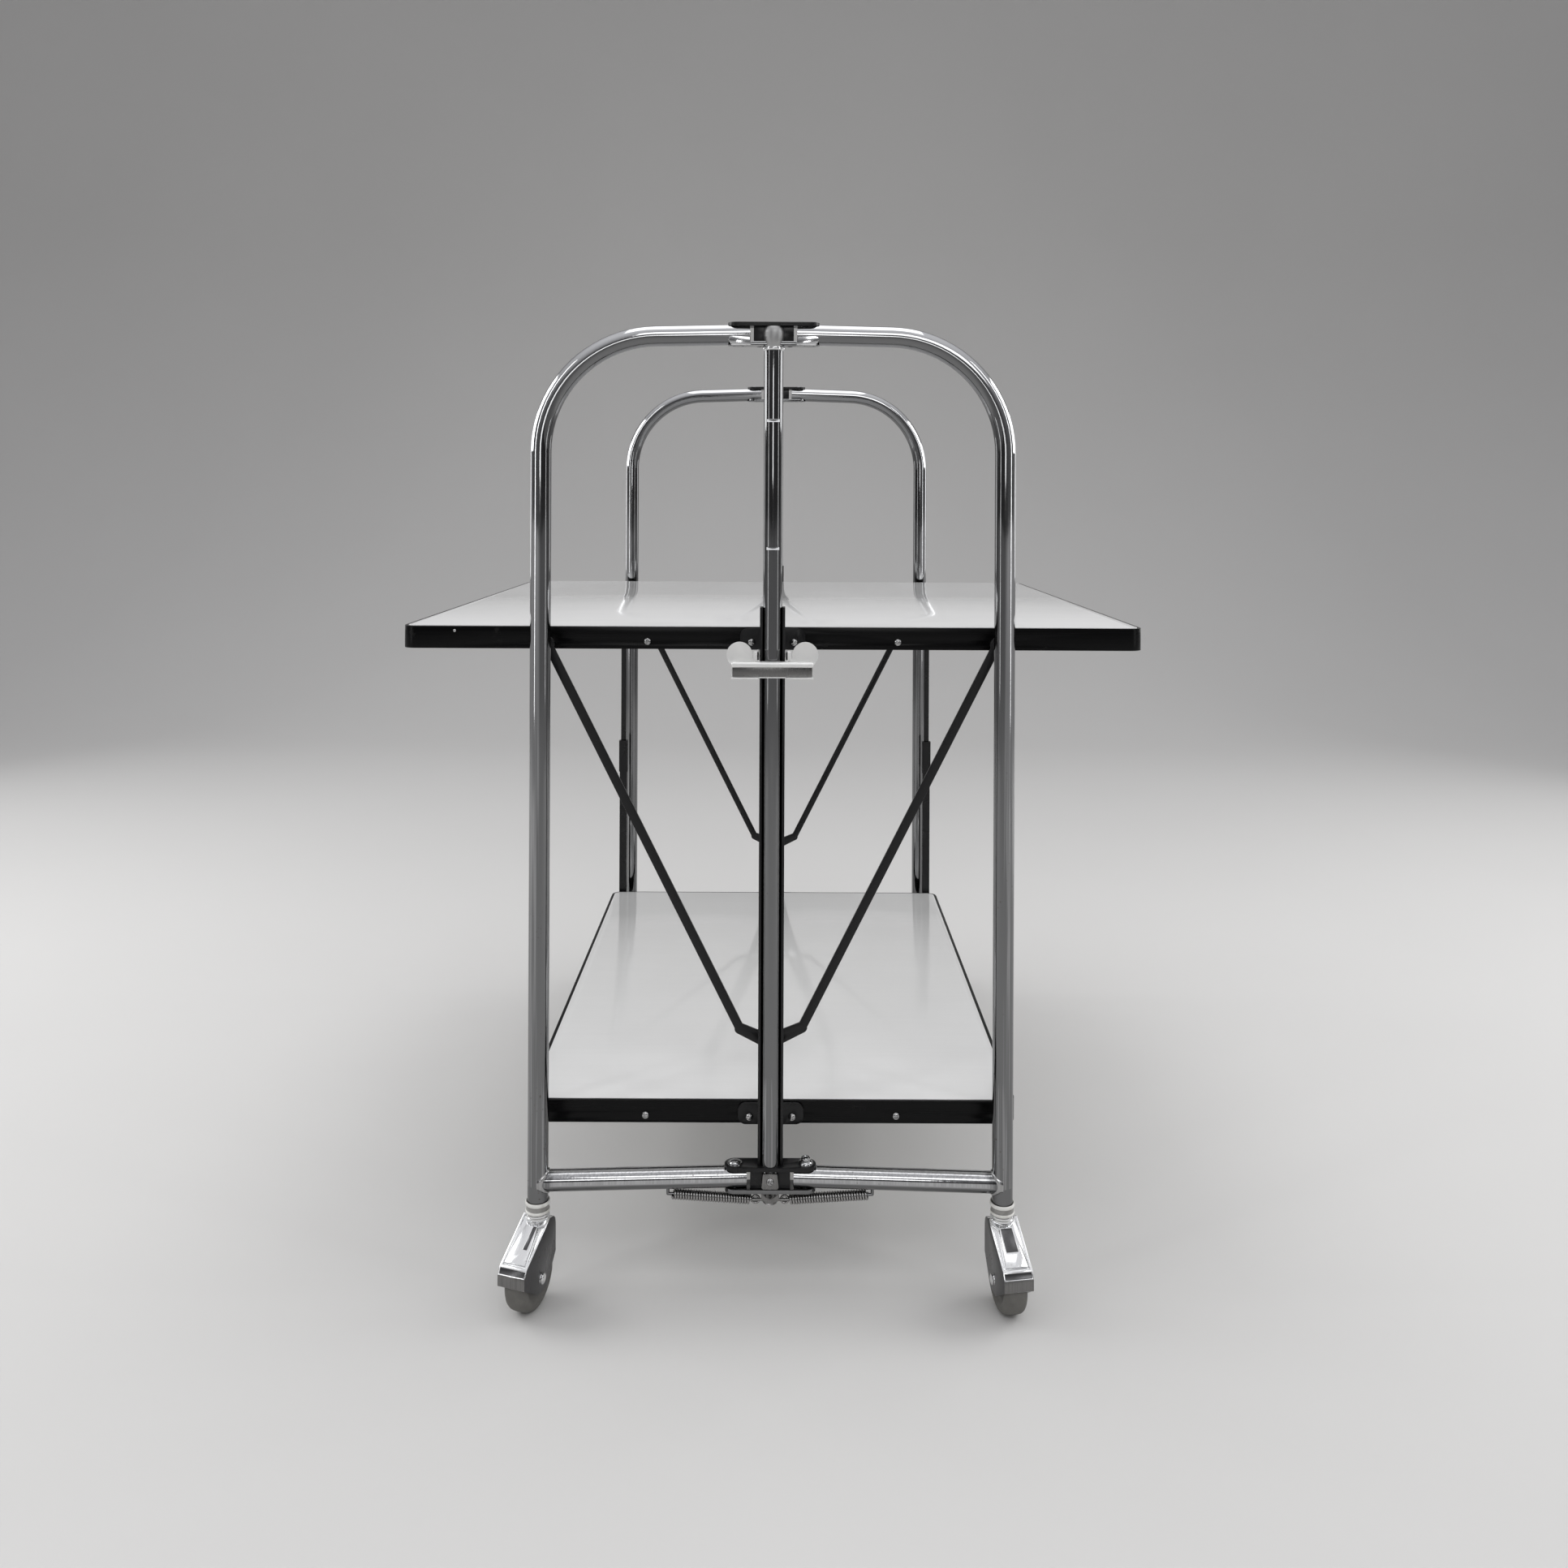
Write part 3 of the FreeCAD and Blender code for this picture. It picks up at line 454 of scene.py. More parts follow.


# Painted shade: how much darker the chrome is painted at each place.
def painted_shade_share(tree, place, off_middle, height, painted_shade_strength):
    legs = remap(tree, off_middle, *LEG_EDGE, BESIDE_TUBES, 1.0)
    posts = remap(tree, off_middle, *POST_EDGE, 1.0, BESIDE_TUBES)
    lower_half = remap(tree, height, *PAINTED_SHADE_FADE, painted_shade_strength, 0.0)
    streaks = noise(tree, stretched(tree, place, STREAK_STRETCH), 1.0, 2.0)
    painted_shade = combine(tree, "MULTIPLY", lower_half, remap(tree, streaks, 0.36, 0.60, 0.65, 1.3))
    painted_shade_on_tubes = combine(tree, "MULTIPLY", painted_shade, combine(tree, "MAXIMUM", legs, posts))
    underside = remap(tree, height, *STRUT_MIDDLE, painted_shade_strength, 0.0)
    inner = combine(tree, "MULTIPLY", inner_side(tree, off_middle, height), painted_shade_strength)
    return combine(tree, "MAXIMUM", painted_shade_on_tubes, combine(tree, "MAXIMUM", underside, inner))


# %% Chrome finish
WIPING_STRETCH = (420.0, 420.0, 18.0)
PIT_COLOUR = (0.09, 0.07, 0.05)
PITTED_BELOW = (0.05, 0.45)
PITS_HIGH_UP = 0.15


def scattered_pits(tree, place, height, pitting):
    specks = tree.nodes.new("ShaderNodeTexVoronoi")
    specks.inputs["Scale"].default_value = 260.0
    tree.links.new(place, specks.inputs["Vector"])
    dots = remap(tree, specks.outputs["Distance"], 0.10, 0.22, 1.0, 0.0)
    patches = remap(tree, noise(tree, place, 34.0, 3.0), 0.52, 0.66, 0.0, 1.0)
    low_down = remap(tree, height, *PITTED_BELOW, pitting, pitting * PITS_HIGH_UP)
    return combine(tree, "MULTIPLY", combine(tree, "MULTIPLY", dots, patches), low_down)


def height_and_offset(tree, place):
    parts = tree.nodes.new("ShaderNodeSeparateXYZ")
    tree.links.new(place, parts.inputs["Vector"])
    off_middle = tree.nodes.new("ShaderNodeMath")
    off_middle.operation = "ABSOLUTE"
    tree.links.new(parts.outputs["X"], off_middle.inputs[0])
    return parts.outputs["Z"], off_middle.outputs["Value"]


def chrome_finish(name, colour, polish, pitting, painted_shade_strength, wiped=0.04):
    finish, tree, shader, place = new_finish(name)
    shader.inputs["Metallic"].default_value = 1.0
    height, off_middle = height_and_offset(tree, place)
    wiping = noise(tree, stretched(tree, place, WIPING_STRETCH), 1.0)
    haze = noise(tree, place, 22.0)
    wiped_lines = remap(tree, wiping, 0.35, 0.8, polish, polish + 0.06)
    rough = combine(tree, "ADD", wiped_lines, remap(tree, haze, 0.4, 0.75, 0.0, 0.05))
    pits = scattered_pits(tree, place, height, pitting)
    painted_shade = painted_shade_share(tree, place, off_middle, height, painted_shade_strength)
    clean = blend_colours(tree, haze, colour, tuple(c * 0.9 for c in colour))
    # Where the painted shade lies, the colour turns to a third of the metal's own.
    tint = blend_colours(tree, painted_shade, clean, tuple(c * 0.3 for c in colour))
    pitted = blend_colours(tree, pits, tint, PIT_COLOUR)
    rough_pits = combine(tree, "MULTIPLY", pits, 0.5)
    colour_and_gloss(tree, shader, pitted, combine(tree, "ADD", rough, rough_pits))
    bump(tree, shader, combine(tree, "SUBTRACT", wiping, pits), wiped, 0.0004)
    return finish


# The number after the pitting is the strength of the painted shade.
chrome = chrome_finish("bright_chrome", (0.62, 0.625, 0.635), 0.035, 0.9, 1.0)
bright_pressing = chrome_finish("bright_pressing", (0.88, 0.885, 0.89), 0.13, 0.5, 0.0, 0.015)
# Very dark chrome for the hood's recess, step and cheeks: painted shade.
painted_shade_chrome = chrome_finish("chrome_in_painted_shade", (0.12, 0.12, 0.123), 0.26, 0.6, 0.0)
nickel = chrome_finish("satin_nickel", (0.94, 0.94, 0.93), 0.48, 0.1, 0.0, 0.008)
plated_steel = chrome_finish("plated_steel", (0.52, 0.52, 0.52), 0.16, 0.5, 0.3)
# A darker steel with painted shade low down, for the tab and the saddle, and as painted shade on the
# hood's lip and the latch's sunk face.
dull_steel_with_painted_shade = chrome_finish("dulled_steel_in_painted_shade", (0.34, 0.335, 0.33), 0.22, 0.6, 0.5)
satin_steel = chrome_finish("satin_steel", (0.42, 0.42, 0.42), 0.42, 0.2, 0.0, 0.01)
spring_steel = chrome_finish("spring_steel", (0.38, 0.375, 0.37), 0.16, 0.3, 0.0)
print("made", chrome.name, "and the other metals")

# %% [markdown]
# ### Black enamel
# Channels, struts and stays are stove enamelled black: glossy, slightly uneven like orange peel,
# and chipped to grey steel in a few small places.

# %% Black enamel finish
def enamel_finish(name):
    finish, tree, shader, place = new_finish(name)
    shader.inputs["Specular IOR Level"].default_value = 0.32
    chips = remap(tree, noise(tree, place, 190.0, 5.0, 0.7), 0.72, 0.75, 0.0, 1.0)
    dust = noise(tree, place, 30.0)
    black = blend_colours(tree, dust, (0.004, 0.004, 0.0045), (0.011, 0.011, 0.012))
    chipped = blend_colours(tree, chips, black, (0.22, 0.21, 0.20))
    colour_and_gloss(tree, shader, chipped, remap(tree, dust, 0.3, 0.75, 0.22, 0.40))
    bump(tree, shader, noise(tree, place, 420.0, 2.0), 0.06, 0.0006)
    return finish


enamel = enamel_finish("black_enamel")
print("made", enamel.name)

# %% [markdown]
# ### White laminate
# The trays are board with a white gloss laminate. It mirrors the room at a flat angle under a thin
# clear coat, and it is pressed onto board, so it is never quite flat. It also has a very faint grain
# across the tray and a few dull smears.

# %% Laminate finish
GRAIN_STRETCH = (9.0, 240.0, 60.0)
SMEAR_STRETCH = (14.0, 5.0, 5.0)


def laminate_finish(name):
    finish, tree, shader, place = new_finish(name)
    shader.inputs["Coat Weight"].default_value = 0.3
    shader.inputs["Coat Roughness"].default_value = 0.05
    grain = noise(tree, stretched(tree, place, GRAIN_STRETCH), 1.0, 3.0)
    grain_tone = remap(tree, grain, 0.3, 0.7, 0.0, 0.25)
    cloud_tone = remap(tree, noise(tree, place, 5.0, 3.0), 0.35, 0.7, 0.0, 0.5)
    tone = combine(tree, "ADD", grain_tone, cloud_tone)
    white = blend_colours(tree, tone, (0.82, 0.82, 0.815), (0.77, 0.772, 0.77))
    smears = noise(tree, stretched(tree, place, SMEAR_STRETCH), 1.0, 5.0)
    colour_and_gloss(tree, shader, white, remap(tree, smears, 0.35, 0.75, 0.08, 0.14))
    bump(tree, shader, noise(tree, place, 30.0, 2.0), 0.03, 0.004)
    return finish


laminate = laminate_finish("white_laminate")
print("made", laminate.name)

# %% [markdown]
# ### Black edging
# A black moulded strip runs round each tray. It is deeper black than the enamel, with fine lines
# along its length from the die that it was drawn through, and a few rough scuffs.

# %% Edging finish
DRAWN_STRETCH = (6.0, 6.0, 900.0)


def edging_finish(name):
    finish, tree, shader, place = new_finish(name)
    shader.inputs["Specular IOR Level"].default_value = 0.15
    drawn_lines = noise(tree, stretched(tree, place, DRAWN_STRETCH), 1.0, 3.0)
    scuffs = remap(tree, noise(tree, place, 60.0, 6.0, 0.65), 0.63, 0.74, 0.0, 1.0)
    black = blend_colours(tree, scuffs, (0.002, 0.002, 0.0022), (0.011, 0.0105, 0.010))
    smooth = remap(tree, drawn_lines, 0.3, 0.7, 0.20, 0.3)
    scuffed = combine(tree, "MULTIPLY", scuffs, 0.2)
    colour_and_gloss(tree, shader, black, combine(tree, "ADD", smooth, scuffed))
    bump(tree, shader, drawn_lines, 0.06, 0.0004)
    return finish


edging = edging_finish("black_edging")
print("made", edging.name)

# %% [markdown]
# ### Collars and wheels
# The castor collars are off-white moulded plastic that has yellowed a little, and the groove between
# their two flanges is a darker grey. The wheels are grey rubber with a worn, dusty tread. The painted
# shade between the turns of the springs is made with the same helper as the collars.

# %% Plastic, grime, painted shade and rubber finishes
def grimy_finish(name, clean, dirty):
    finish, tree, shader, place = new_finish(name)
    grime = remap(tree, noise(tree, place, 120.0, 5.0), 0.48, 0.78, 0.0, 1.0)
    mixed = blend_colours(tree, grime, clean, dirty)
    colour_and_gloss(tree, shader, mixed, remap(tree, grime, 0.0, 1.0, 0.34, 0.6))
    bump(tree, shader, noise(tree, place, 700.0, 2.0), 0.05, 0.0004)
    return finish


def rubber_finish(name):
    finish, tree, shader, place = new_finish(name)
    dust = noise(tree, place, 140.0, 6.0, 0.65)
    grey = blend_colours(tree, dust, (0.075, 0.072, 0.066), (0.20, 0.195, 0.18))
    colour_and_gloss(tree, shader, grey, remap(tree, dust, 0.3, 0.7, 0.5, 0.75))
    bump(tree, shader, dust, 0.25, 0.0006)
    return finish


collar_plastic = grimy_finish("collar_plastic", (0.86, 0.855, 0.82), (0.62, 0.60, 0.55))
collar_groove = grimy_finish("collar_groove", (0.33, 0.325, 0.31), (0.20, 0.195, 0.18))
# Near-black for the inner faces of the springs' wire: painted shade between the turns.
spring_painted_shade = grimy_finish("spring_painted_shade", (0.022, 0.02, 0.018), (0.01, 0.009, 0.008))
wheel_rubber = rubber_finish("wheel_rubber")
print("made", collar_plastic.name, collar_groove.name, spring_painted_shade.name, wheel_rubber.name)

# %% [markdown]
# ## Finishes on the frame's own nodes
# A node whose CAD shape is already right stays as it is, and only gets its finish.

# %% Give each node its finish
finish_of_slot = {
    "chrome": chrome,
    "black_enamel": enamel,
    "laminate": laminate,
    "edging": edging,
    "steel": plated_steel,
    "collar": collar_plastic,
    "wheel": wheel_rubber,
}
slot_of_node = {part["node"]: part["material_slot"] for part in frame["record"]["subparts"]}
for node, slot in slot_of_node.items():
    mesh = nodes[node].data
    mesh.materials.clear()
    mesh.materials.append(finish_of_slot[slot])
print("nodes with a finish:", len(slot_of_node))

# %% [markdown]
# ## Springs under the post
# Two close-wound springs under each post pull the half frames open. A coil is a circle, the wire's
# section, carried round and along an axis, which is what the Screw modifier does. The wire ends in a
# loop that hooks on the clip, and that loop is the same circle spun through most of a turn. The
# inner faces of the wire, between the turns, get a dark finish of their own: painted shade.

# %% Coil
WIRE_RADIUS = 0.98 * MM
WIRE_SIDES = 10
COIL_RADIUS = 3.05 * MM
COIL_TURNS = 29
COIL_STEPS = 22
BRIGHT_FROM = COIL_RADIUS + 0.62 * WIRE_RADIUS
INNER_SHADE_SLOT = 1
coil_start = Vector((15.2, 0, 71.8)) * MM
coil_end = Vector((75.5, 0, 77.2)) * MM
coil_axis = coil_end - coil_start


def wire_circle(name, place):
    deselect_everything()
    bpy.ops.mesh.primitive_circle_add(
        vertices=WIRE_SIDES, radius=WIRE_RADIUS, location=place, rotation=(QUARTER_TURN, 0, 0)
    )
    piece = bpy.context.object
    piece.name = name
    settle()
    return piece


def wound_coil():
    coil = wire_circle("coil", (COIL_RADIUS, 0, 0))
    windings = coil.modifiers.new("windings", "SCREW")
    windings.screw_offset = coil_axis.length / COIL_TURNS
    windings.iterations = COIL_TURNS
    windings.steps = COIL_STEPS
    windings.render_steps = COIL_STEPS
    bpy.ops.object.modifier_apply(modifier=windings.name)
    close_ends()
    coil.data.materials.append(spring_steel)
    coil.data.materials.append(spring_painted_shade)
    # Faces nearer the axis than BRIGHT_FROM lie between the turns and get the painted shade.
    select_faces(coil, lambda centre, normal: math.hypot(centre.x, centre.y) < BRIGHT_FROM)
    paint_selected(coil, INNER_SHADE_SLOT)
    object_mode()
    tilt = coil_axis.to_track_quat("Z", "Y").to_matrix().to_4x4()
    coil.matrix_world = Matrix.Translation(coil_start) @ tilt
    settle()
    return coil


# %% Hooked end and the four springs
HOOK_CENTRE = Vector((11.3, 0, 71.6)) * MM
HOOK_RADIUS = 2.8 * MM


def hooked_end():
    start = (HOOK_CENTRE.x + HOOK_RADIUS, 0, HOOK_CENTRE.z)
    hook = wire_circle("hook", start)
    edit_mode()
    select_whole_mesh()
    bpy.ops.transform.rotate(value=QUARTER_TURN, orient_axis="X", center_override=start)
    bpy.ops.mesh.spin(steps=24, angle=math.radians(330), center=HOOK_CENTRE, axis=LENGTHWISE)
    object_mode()
    close_ends()
    hook.data.materials.append(spring_steel)
    return hook


spring = joined([wound_coil(), hooked_end()], "spring")
only(spring)
bpy.ops.object.shade_smooth_by_angle(angle=math.radians(60))
for corner in corners:
    coil = copied(spring, corner + "_coil_spring", frame_place(corner))
    dressed(coil, None, "steel", corner + "_half_frame", corner + "_spring")
print("spring faces:", len(spring.data.polygons))
discard(spring)

# %% [markdown]
# ## Castors: the hood
# The hood is pressed sheet: flat cheeks, a steep front with a sunken panel, a raised pad in it with
# a recess, a step and a lip. It starts as the side outline, stamped to its full width. The recess,
# the step and the cheeks are coloured a very dark chrome, and the lip a darker steel: painted shade.
# Each form on the front is then an inset and an extrusion of one face, first in, then out.

# %% Hood outline and its sloping front
HOOD_HALF_WIDTH = 11.4 * MM
SLOPE_TOP = (1.0, 63.8)
SLOPE_FOOT = (36.5, 42.5)
hood_outline = [
    (-8.0, 56.0), (-7.2, 59.8), (-4.8, 62.4), SLOPE_TOP, SLOPE_FOOT, (39.6, 37.5),
    (39.6, 29.0), (19.0, 14.5), (6.0, 14.5), (-8.0, 34.0),
]
slope_start = Vector((SLOPE_TOP[0], 0, SLOPE_TOP[1])) * MM
slope_end = Vector((SLOPE_FOOT[0], 0, SLOPE_FOOT[1])) * MM
slope_down = (slope_end - slope_start).normalized()
slope_out = Vector((-slope_down.z, 0, slope_down.x))
slope_length = (slope_end - slope_start).length


def on_slope(along, across, out):
    return slope_start + slope_down * along + Vector((0, across, 0)) + slope_out * out


def corner_pair(along, half_width, out):
    return [on_slope(along, side * half_width, out) for side in (-1, 1)]


# %% Panel, pad and recess
PANEL_BORDER = 1.6 * MM
PANEL_SINK = 1.2 * MM
PAD_BORDER = 1.3 * MM
PAD_RISE = 1.9 * MM
PAD_TOP = 8.9 * MM
PAD_TAPER = 0.62
RECESS_BORDER = 1.7 * MM
RECESS_END = 28.4 * MM
RECESS_DEPTH = 1.7 * MM
PAINTED_SHADE_SLOT = 1
SHADED_LIP_SLOT = 2
border = PANEL_BORDER + PAD_BORDER
pad_out = PAD_RISE - PANEL_SINK
pad_bottom = slope_length - border


def taper(hood, spots, reach, shift):
    select_points(hood, lambda point: near_any(point, spots, reach))
    bpy.ops.transform.translate(value=slope_down * shift)
    bpy.ops.transform.resize(value=(1, PAD_TAPER, 1), center_override=ORIGIN)


def shape_pad(hood):
    select_faces(hood, lambda centre, normal: normal.dot(slope_out) > FACING)
    bpy.ops.mesh.inset(thickness=PANEL_BORDER, depth=0)
    push(slope_out * -PANEL_SINK)
    bpy.ops.mesh.inset(thickness=PAD_BORDER, depth=0)
    top_corners = corner_pair(border, HOOD_HALF_WIDTH - border, -PANEL_SINK)
    taper(hood, top_corners, 0.3 * MM, PAD_TOP - border)
    middle = on_slope((PAD_TOP + pad_bottom) / 2, 0, -PANEL_SINK)
    select_faces(hood, lambda centre, normal: near_any(centre, [middle], 4 * MM))
    push(slope_out * PAD_RISE)


def shape_recess(hood, width_share, shift):
    bpy.ops.mesh.inset(thickness=RECESS_BORDER, depth=0)
    low = pad_bottom - RECESS_BORDER
    low_corners = corner_pair(low, HOOD_HALF_WIDTH - border - RECESS_BORDER, pad_out)
    taper(hood, low_corners, 0.9 * MM, RECESS_END - low)
    middle = on_slope((PAD_TOP + RECESS_BORDER + RECESS_END) / 2, 0, pad_out)
    select_faces(hood, lambda centre, normal: near_any(centre, [middle], 3 * MM))
    bpy.ops.transform.translate(value=slope_down * -0.75 * RECESS_BORDER)
    bpy.ops.transform.resize(value=(1, width_share, 1), center_override=ORIGIN)
    bpy.ops.transform.translate(value=(0, shift, 0))
    push(slope_out * -RECESS_DEPTH)
    # The recess is coloured dark: painted shade.
    paint_selected(hood, PAINTED_SHADE_SLOT)


# %% Step, cheeks and the room for the wheel
STEP_BORDER = 0.9 * MM
STEP_SINK = 1.1 * MM
step_out = Vector((5.0, 0, 3.5)).normalized()
AXLE = Vector((13.0, 0, 24.0)) * MM
WHEEL_ROOM_RADIUS = 25.4 * MM
WHEEL_ROOM_WIDTH = 19.6 * MM


def shape_step(hood):
    select_faces(hood, lambda centre, normal: normal.dot(step_out) > FACING)
    bpy.ops.mesh.inset(thickness=STEP_BORDER, depth=0)
    push(step_out * -STEP_SINK)
    # The sunk step is coloured dark: painted shade.
    paint_selected(hood, PAINTED_SHADE_SLOT)


def is_cheek(centre, normal):
    return abs(normal.y) > FACING and abs(centre.y) > 0.95 * HOOD_HALF_WIDTH


def paint_shade_on_sides(hood):
    # The front lip gets the darker steel: painted shade.
    select_faces(hood, lambda centre, normal: normal.x > FACING)
    paint_selected(hood, SHADED_LIP_SLOT)
    # The cheeks are coloured dark: painted dark reflection.
    select_faces(hood, is_cheek)
    paint_selected(hood, PAINTED_SHADE_SLOT)
    object_mode()


def wheel_room():
    turn = (QUARTER_TURN, 0, 0)
    return round_bar("wheel_room", AXLE, turn, WHEEL_ROOM_RADIUS, WHEEL_ROOM_WIDTH, 72)


# %% Two kinds of hood
def pressed_hood(recess_width_share, recess_shift):
    points = [(x * MM, -HOOD_HALF_WIDTH, z * MM) for x, z in hood_outline]
    hood = stamped("hood", points, (0, 2 * HOOD_HALF_WIDTH, 0))
    for finish in (bright_pressing, painted_shade_chrome, dull_steel_with_painted_shade):
        hood.data.materials.append(finish)
    shape_pad(hood)
    shape_recess(hood, recess_width_share, recess_shift)
    shape_step(hood)
    paint_shade_on_sides(hood)
    rounded(hood, 0.45 * MM)
    return combined(hood, wheel_room(), "DIFFERENCE")


centred_hood = pressed_hood(1.15, 0)
slit_hood = pressed_hood(0.4, 3.0 * MM)
print("hood faces:", len(centred_hood.data.polygons), len(slit_hood.data.polygons))

# %% [markdown]
# ## Castors: neck, axle rivets, collar and wheel
# These are all turned parts. The neck is a short stack of rounded rings that rises out of the slope,
# the rivets are low domes on the cheeks, the collar has two flanges with a groove between them, and
# the wheel has a dished side and a crowned tread.

# %% Neck and rivets
neck_profile = [
    (0.0, 54.0), (7.4, 54.0), (8.2, 57.5), (8.6, 60.5), (8.7, 62.0), (9.15, 62.5),
    (9.35, 63.3), (9.15, 64.1), (8.4, 64.5), (8.2, 65.1), (8.4, 66.0), (0.0, 66.0),
]
rivet_profile = [
    (0.0, 13.7), (1.6, 13.55), (2.9, 13.1), (3.8, 12.4), (4.15, 11.6), (4.15, 11.2), (0.0, 11.2),
]


def round_axle(name, profile, steps):
    points = [(AXLE.x, y * MM, AXLE.z + radius * MM) for radius, y in profile]
    return turned(name, points, AXLE, LENGTHWISE, steps)


turned_pieces = [turned("neck", at_depth(neck_profile, 0), ORIGIN, UP, 48)]
for side in (-1, 1):
    profile = [(radius, side * y) for radius, y in rivet_profile]
    turned_pieces.append(round_axle("axle_rivet", profile, 28))
for piece in turned_pieces:
    piece.data.materials.append(bright_pressing)
turned_parts = joined(turned_pieces, "turned_parts")
print("neck and rivets:", len(turned_pieces))

# %% Collar
GROOVE = (69.2 * MM, 72.7 * MM)
GROOVED = 1
collar_profile = [
    (5.2, 66.3), (8.2, 66.3), (8.9, 66.8), (9.3, 67.4), (9.35, 68.5), (9.0, 69.1),
    (8.5, 69.4), (8.5, 72.5), (9.0, 72.8), (9.45, 73.4), (9.5, 74.9), (9.2, 75.6),
    (8.8, 75.7), (8.4, 75.2), (8.2, 74.3), (6.4, 74.1), (5.2, 66.3),
]
collar = turned("collar", at_depth(collar_profile, 0), ORIGIN, UP, 48)
collar.data.materials.append(collar_plastic)
collar.data.materials.append(collar_groove)
select_faces(collar, lambda centre, normal: GROOVE[0] < centre.z < GROOVE[1])
paint_selected(collar, GROOVED)
object_mode()
print("collar faces:", len(collar.data.polygons))

# %% Wheel
half_tread = [
    (2.6, 8.1), (5.6, 8.1), (6.3, 7.4), (6.8, 7.0), (14.6, 7.0), (15.6, 7.4), (16.4, 8.5),
    (17.6, 9.0), (19.6, 8.95), (21.3, 8.4), (22.6, 7.4), (23.5, 5.8), (23.9, 3.4), (24.0, 1.1),
]
other_half = [(radius, -y) for radius, y in reversed(half_tread)]
wheel = round_axle("wheel", half_tread + other_half + half_tread[:1], 72)
print("wheel faces:", len(wheel.data.polygons))

# %% Castors on their corners
for corner in corners:
    place = castor_place(corner)
    castor = corner + "_castor"
    shell = slit_hood if corner == "front_left" else centred_hood
    pieces = [copied(master, "castor_copy", Matrix()) for master in (shell, turned_parts)]
    hood_master = joined(pieces, corner + "_hood_master")
    hood = copied(hood_master, corner + "_pressed_hood", place)
    discard(hood_master)
    dressed(hood, None, "chrome", castor, corner + "_hood")
    flanged = copied(collar, corner + "_flanged_collar", place)
    dressed(flanged, None, "collar", corner + "_half_frame", corner + "_collar")
    tyre = copied(wheel, corner + "_rubber_wheel", place)
    dressed(tyre, wheel_rubber, "wheel", castor + "_wheel", corner + "_wheel")
for master in (centred_hood, slit_hood, turned_parts, collar, wheel):
    discard(master)
print("castors on", len(corners), "corners")

# %% [markdown]
# ## Softer edges on the measured shapes
# Boards, edging, plates, channels, struts and stays have the right shape in the frame, but their
# edges are sharp. A copy of the node's mesh is merged, its flat triangles are dissolved into whole
# faces, and a narrow bevel then gives each edge the small highlight that real sheet and strip have.

# %% Softened copies of nodes
FLAT_ANGLE = math.radians(0.6)


def merged_copy(node, name):
    piece = bpy.data.objects.new(name, nodes[node].data.copy())
    bpy.context.collection.objects.link(piece)
    only(piece)
    bpy.ops.mesh.customdata_custom_splitnormals_clear()
    edit_mode()
    select_whole_mesh()
    bpy.ops.mesh.remove_doubles(threshold=0.001 * MM)
    bpy.ops.mesh.dissolve_limited(angle_limit=FLAT_ANGLE)
    object_mode()
    return piece


def softened(node, name, width, body, segments=2):
    piece = rounded(merged_copy(node, name), width * MM, segments)
    slot = slot_of_node[node]
    dressed(piece, finish_of_slot[slot], slot, body, node)


for side in ("left", "right"):
    for level in ("upper", "lower"):
        leaf = level + "_" + side
        softened(leaf + "_board", leaf + "_laminate_board", 0.45, leaf + "_leaf")
        softened(leaf + "_edging", leaf + "_moulded_edging", 1.1, leaf + "_leaf", 3)
    softened(side + "_struts", side + "_folding_struts", 0.35, side + "_strut_pair")
    softened(side + "_stay_bars", side + "_upper_stays", 0.3, side + "_stay_bar_pair")
for end in ("front", "rear"):
    softened(end + "_channel", end + "_fixed_channel", 0.35, "stand")
    softened(end + "_slider", end + "_sliding_channel", 0.35, "carriage")
softened("hinge_cap_plates", "black_hinge_plates", 0.5, "stand")
softened("hinge_base_plates", "bright_hinge_plates", 0.7, "stand")
softened("hinge_blocks", "dark_hinge_blocks", 0.6, "stand")
print("boards, strips and plates have soft edges")

# %% [markdown]
# ## Screws in the tray edges
# The trays hang on slotted dome-head screws. The head is a turned dome, and the slot is cut by
# taking a thin box away from it. Each slot lies at its own angle, as screws do after years of use.
# The shanks, studs and pins behind the heads stay as they are in the frame: only the plain heads
# are deleted from a copy, and the domes take their place. One small tack sits in the edging of the
# upper left leaf.

# %% Slotted dome heads
SLOT_PLACE = (0, -2.4 * MM, 0)
SLOT_SIZE = (0.8 * MM, 1.9 * MM, 9.0 * MM)
dome_profile = [
    (0.0, 2.3), (1.2, 2.2), (2.1, 1.8), (2.75, 1.1), (3.0, 0.3), (3.0, 0.0), (0.0, 0.0),
]


def slot_cutter(degrees):
    deselect_everything()
    turn = (0, math.radians(degrees), 0)
    bpy.ops.mesh.primitive_cube_add(size=1, location=SLOT_PLACE, rotation=turn)
    cutter = bpy.context.object
    cutter.scale = SLOT_SIZE
    return cutter


def dome_head(slot_degrees):
    points = [(radius * MM, -out * MM, 0) for radius, out in dome_profile]
    head = turned("dome_head", points, ORIGIN, LENGTHWISE, 28)
    for degrees in slot_degrees:
        combined(head, slot_cutter(degrees), "DIFFERENCE")
    bpy.ops.object.shade_smooth_by_angle(angle=SMOOTH_BELOW)
    return head


def heads_at(head, places):
    copies = [copied(head, "head", place) for place in places]
    discard(head)
    return copies


# %% Screws of the four leaves
HEAD_REACH = 3.6 * MM
HEAD_SLACK = 0.01
screw_places = ((17.0, 25.0), (100.0, 27.5))
slot_angles = {
    "upper_left": (118, 12),
    "upper_right": (62, 95),
    "lower_left": (40, 150),
    "lower_right": (20, 75),
}
tack_place = Matrix.Translation((-254.0 * MM, -272.5 * MM, 510.0 * MM)) @ Matrix.Scale(0.45, 4)


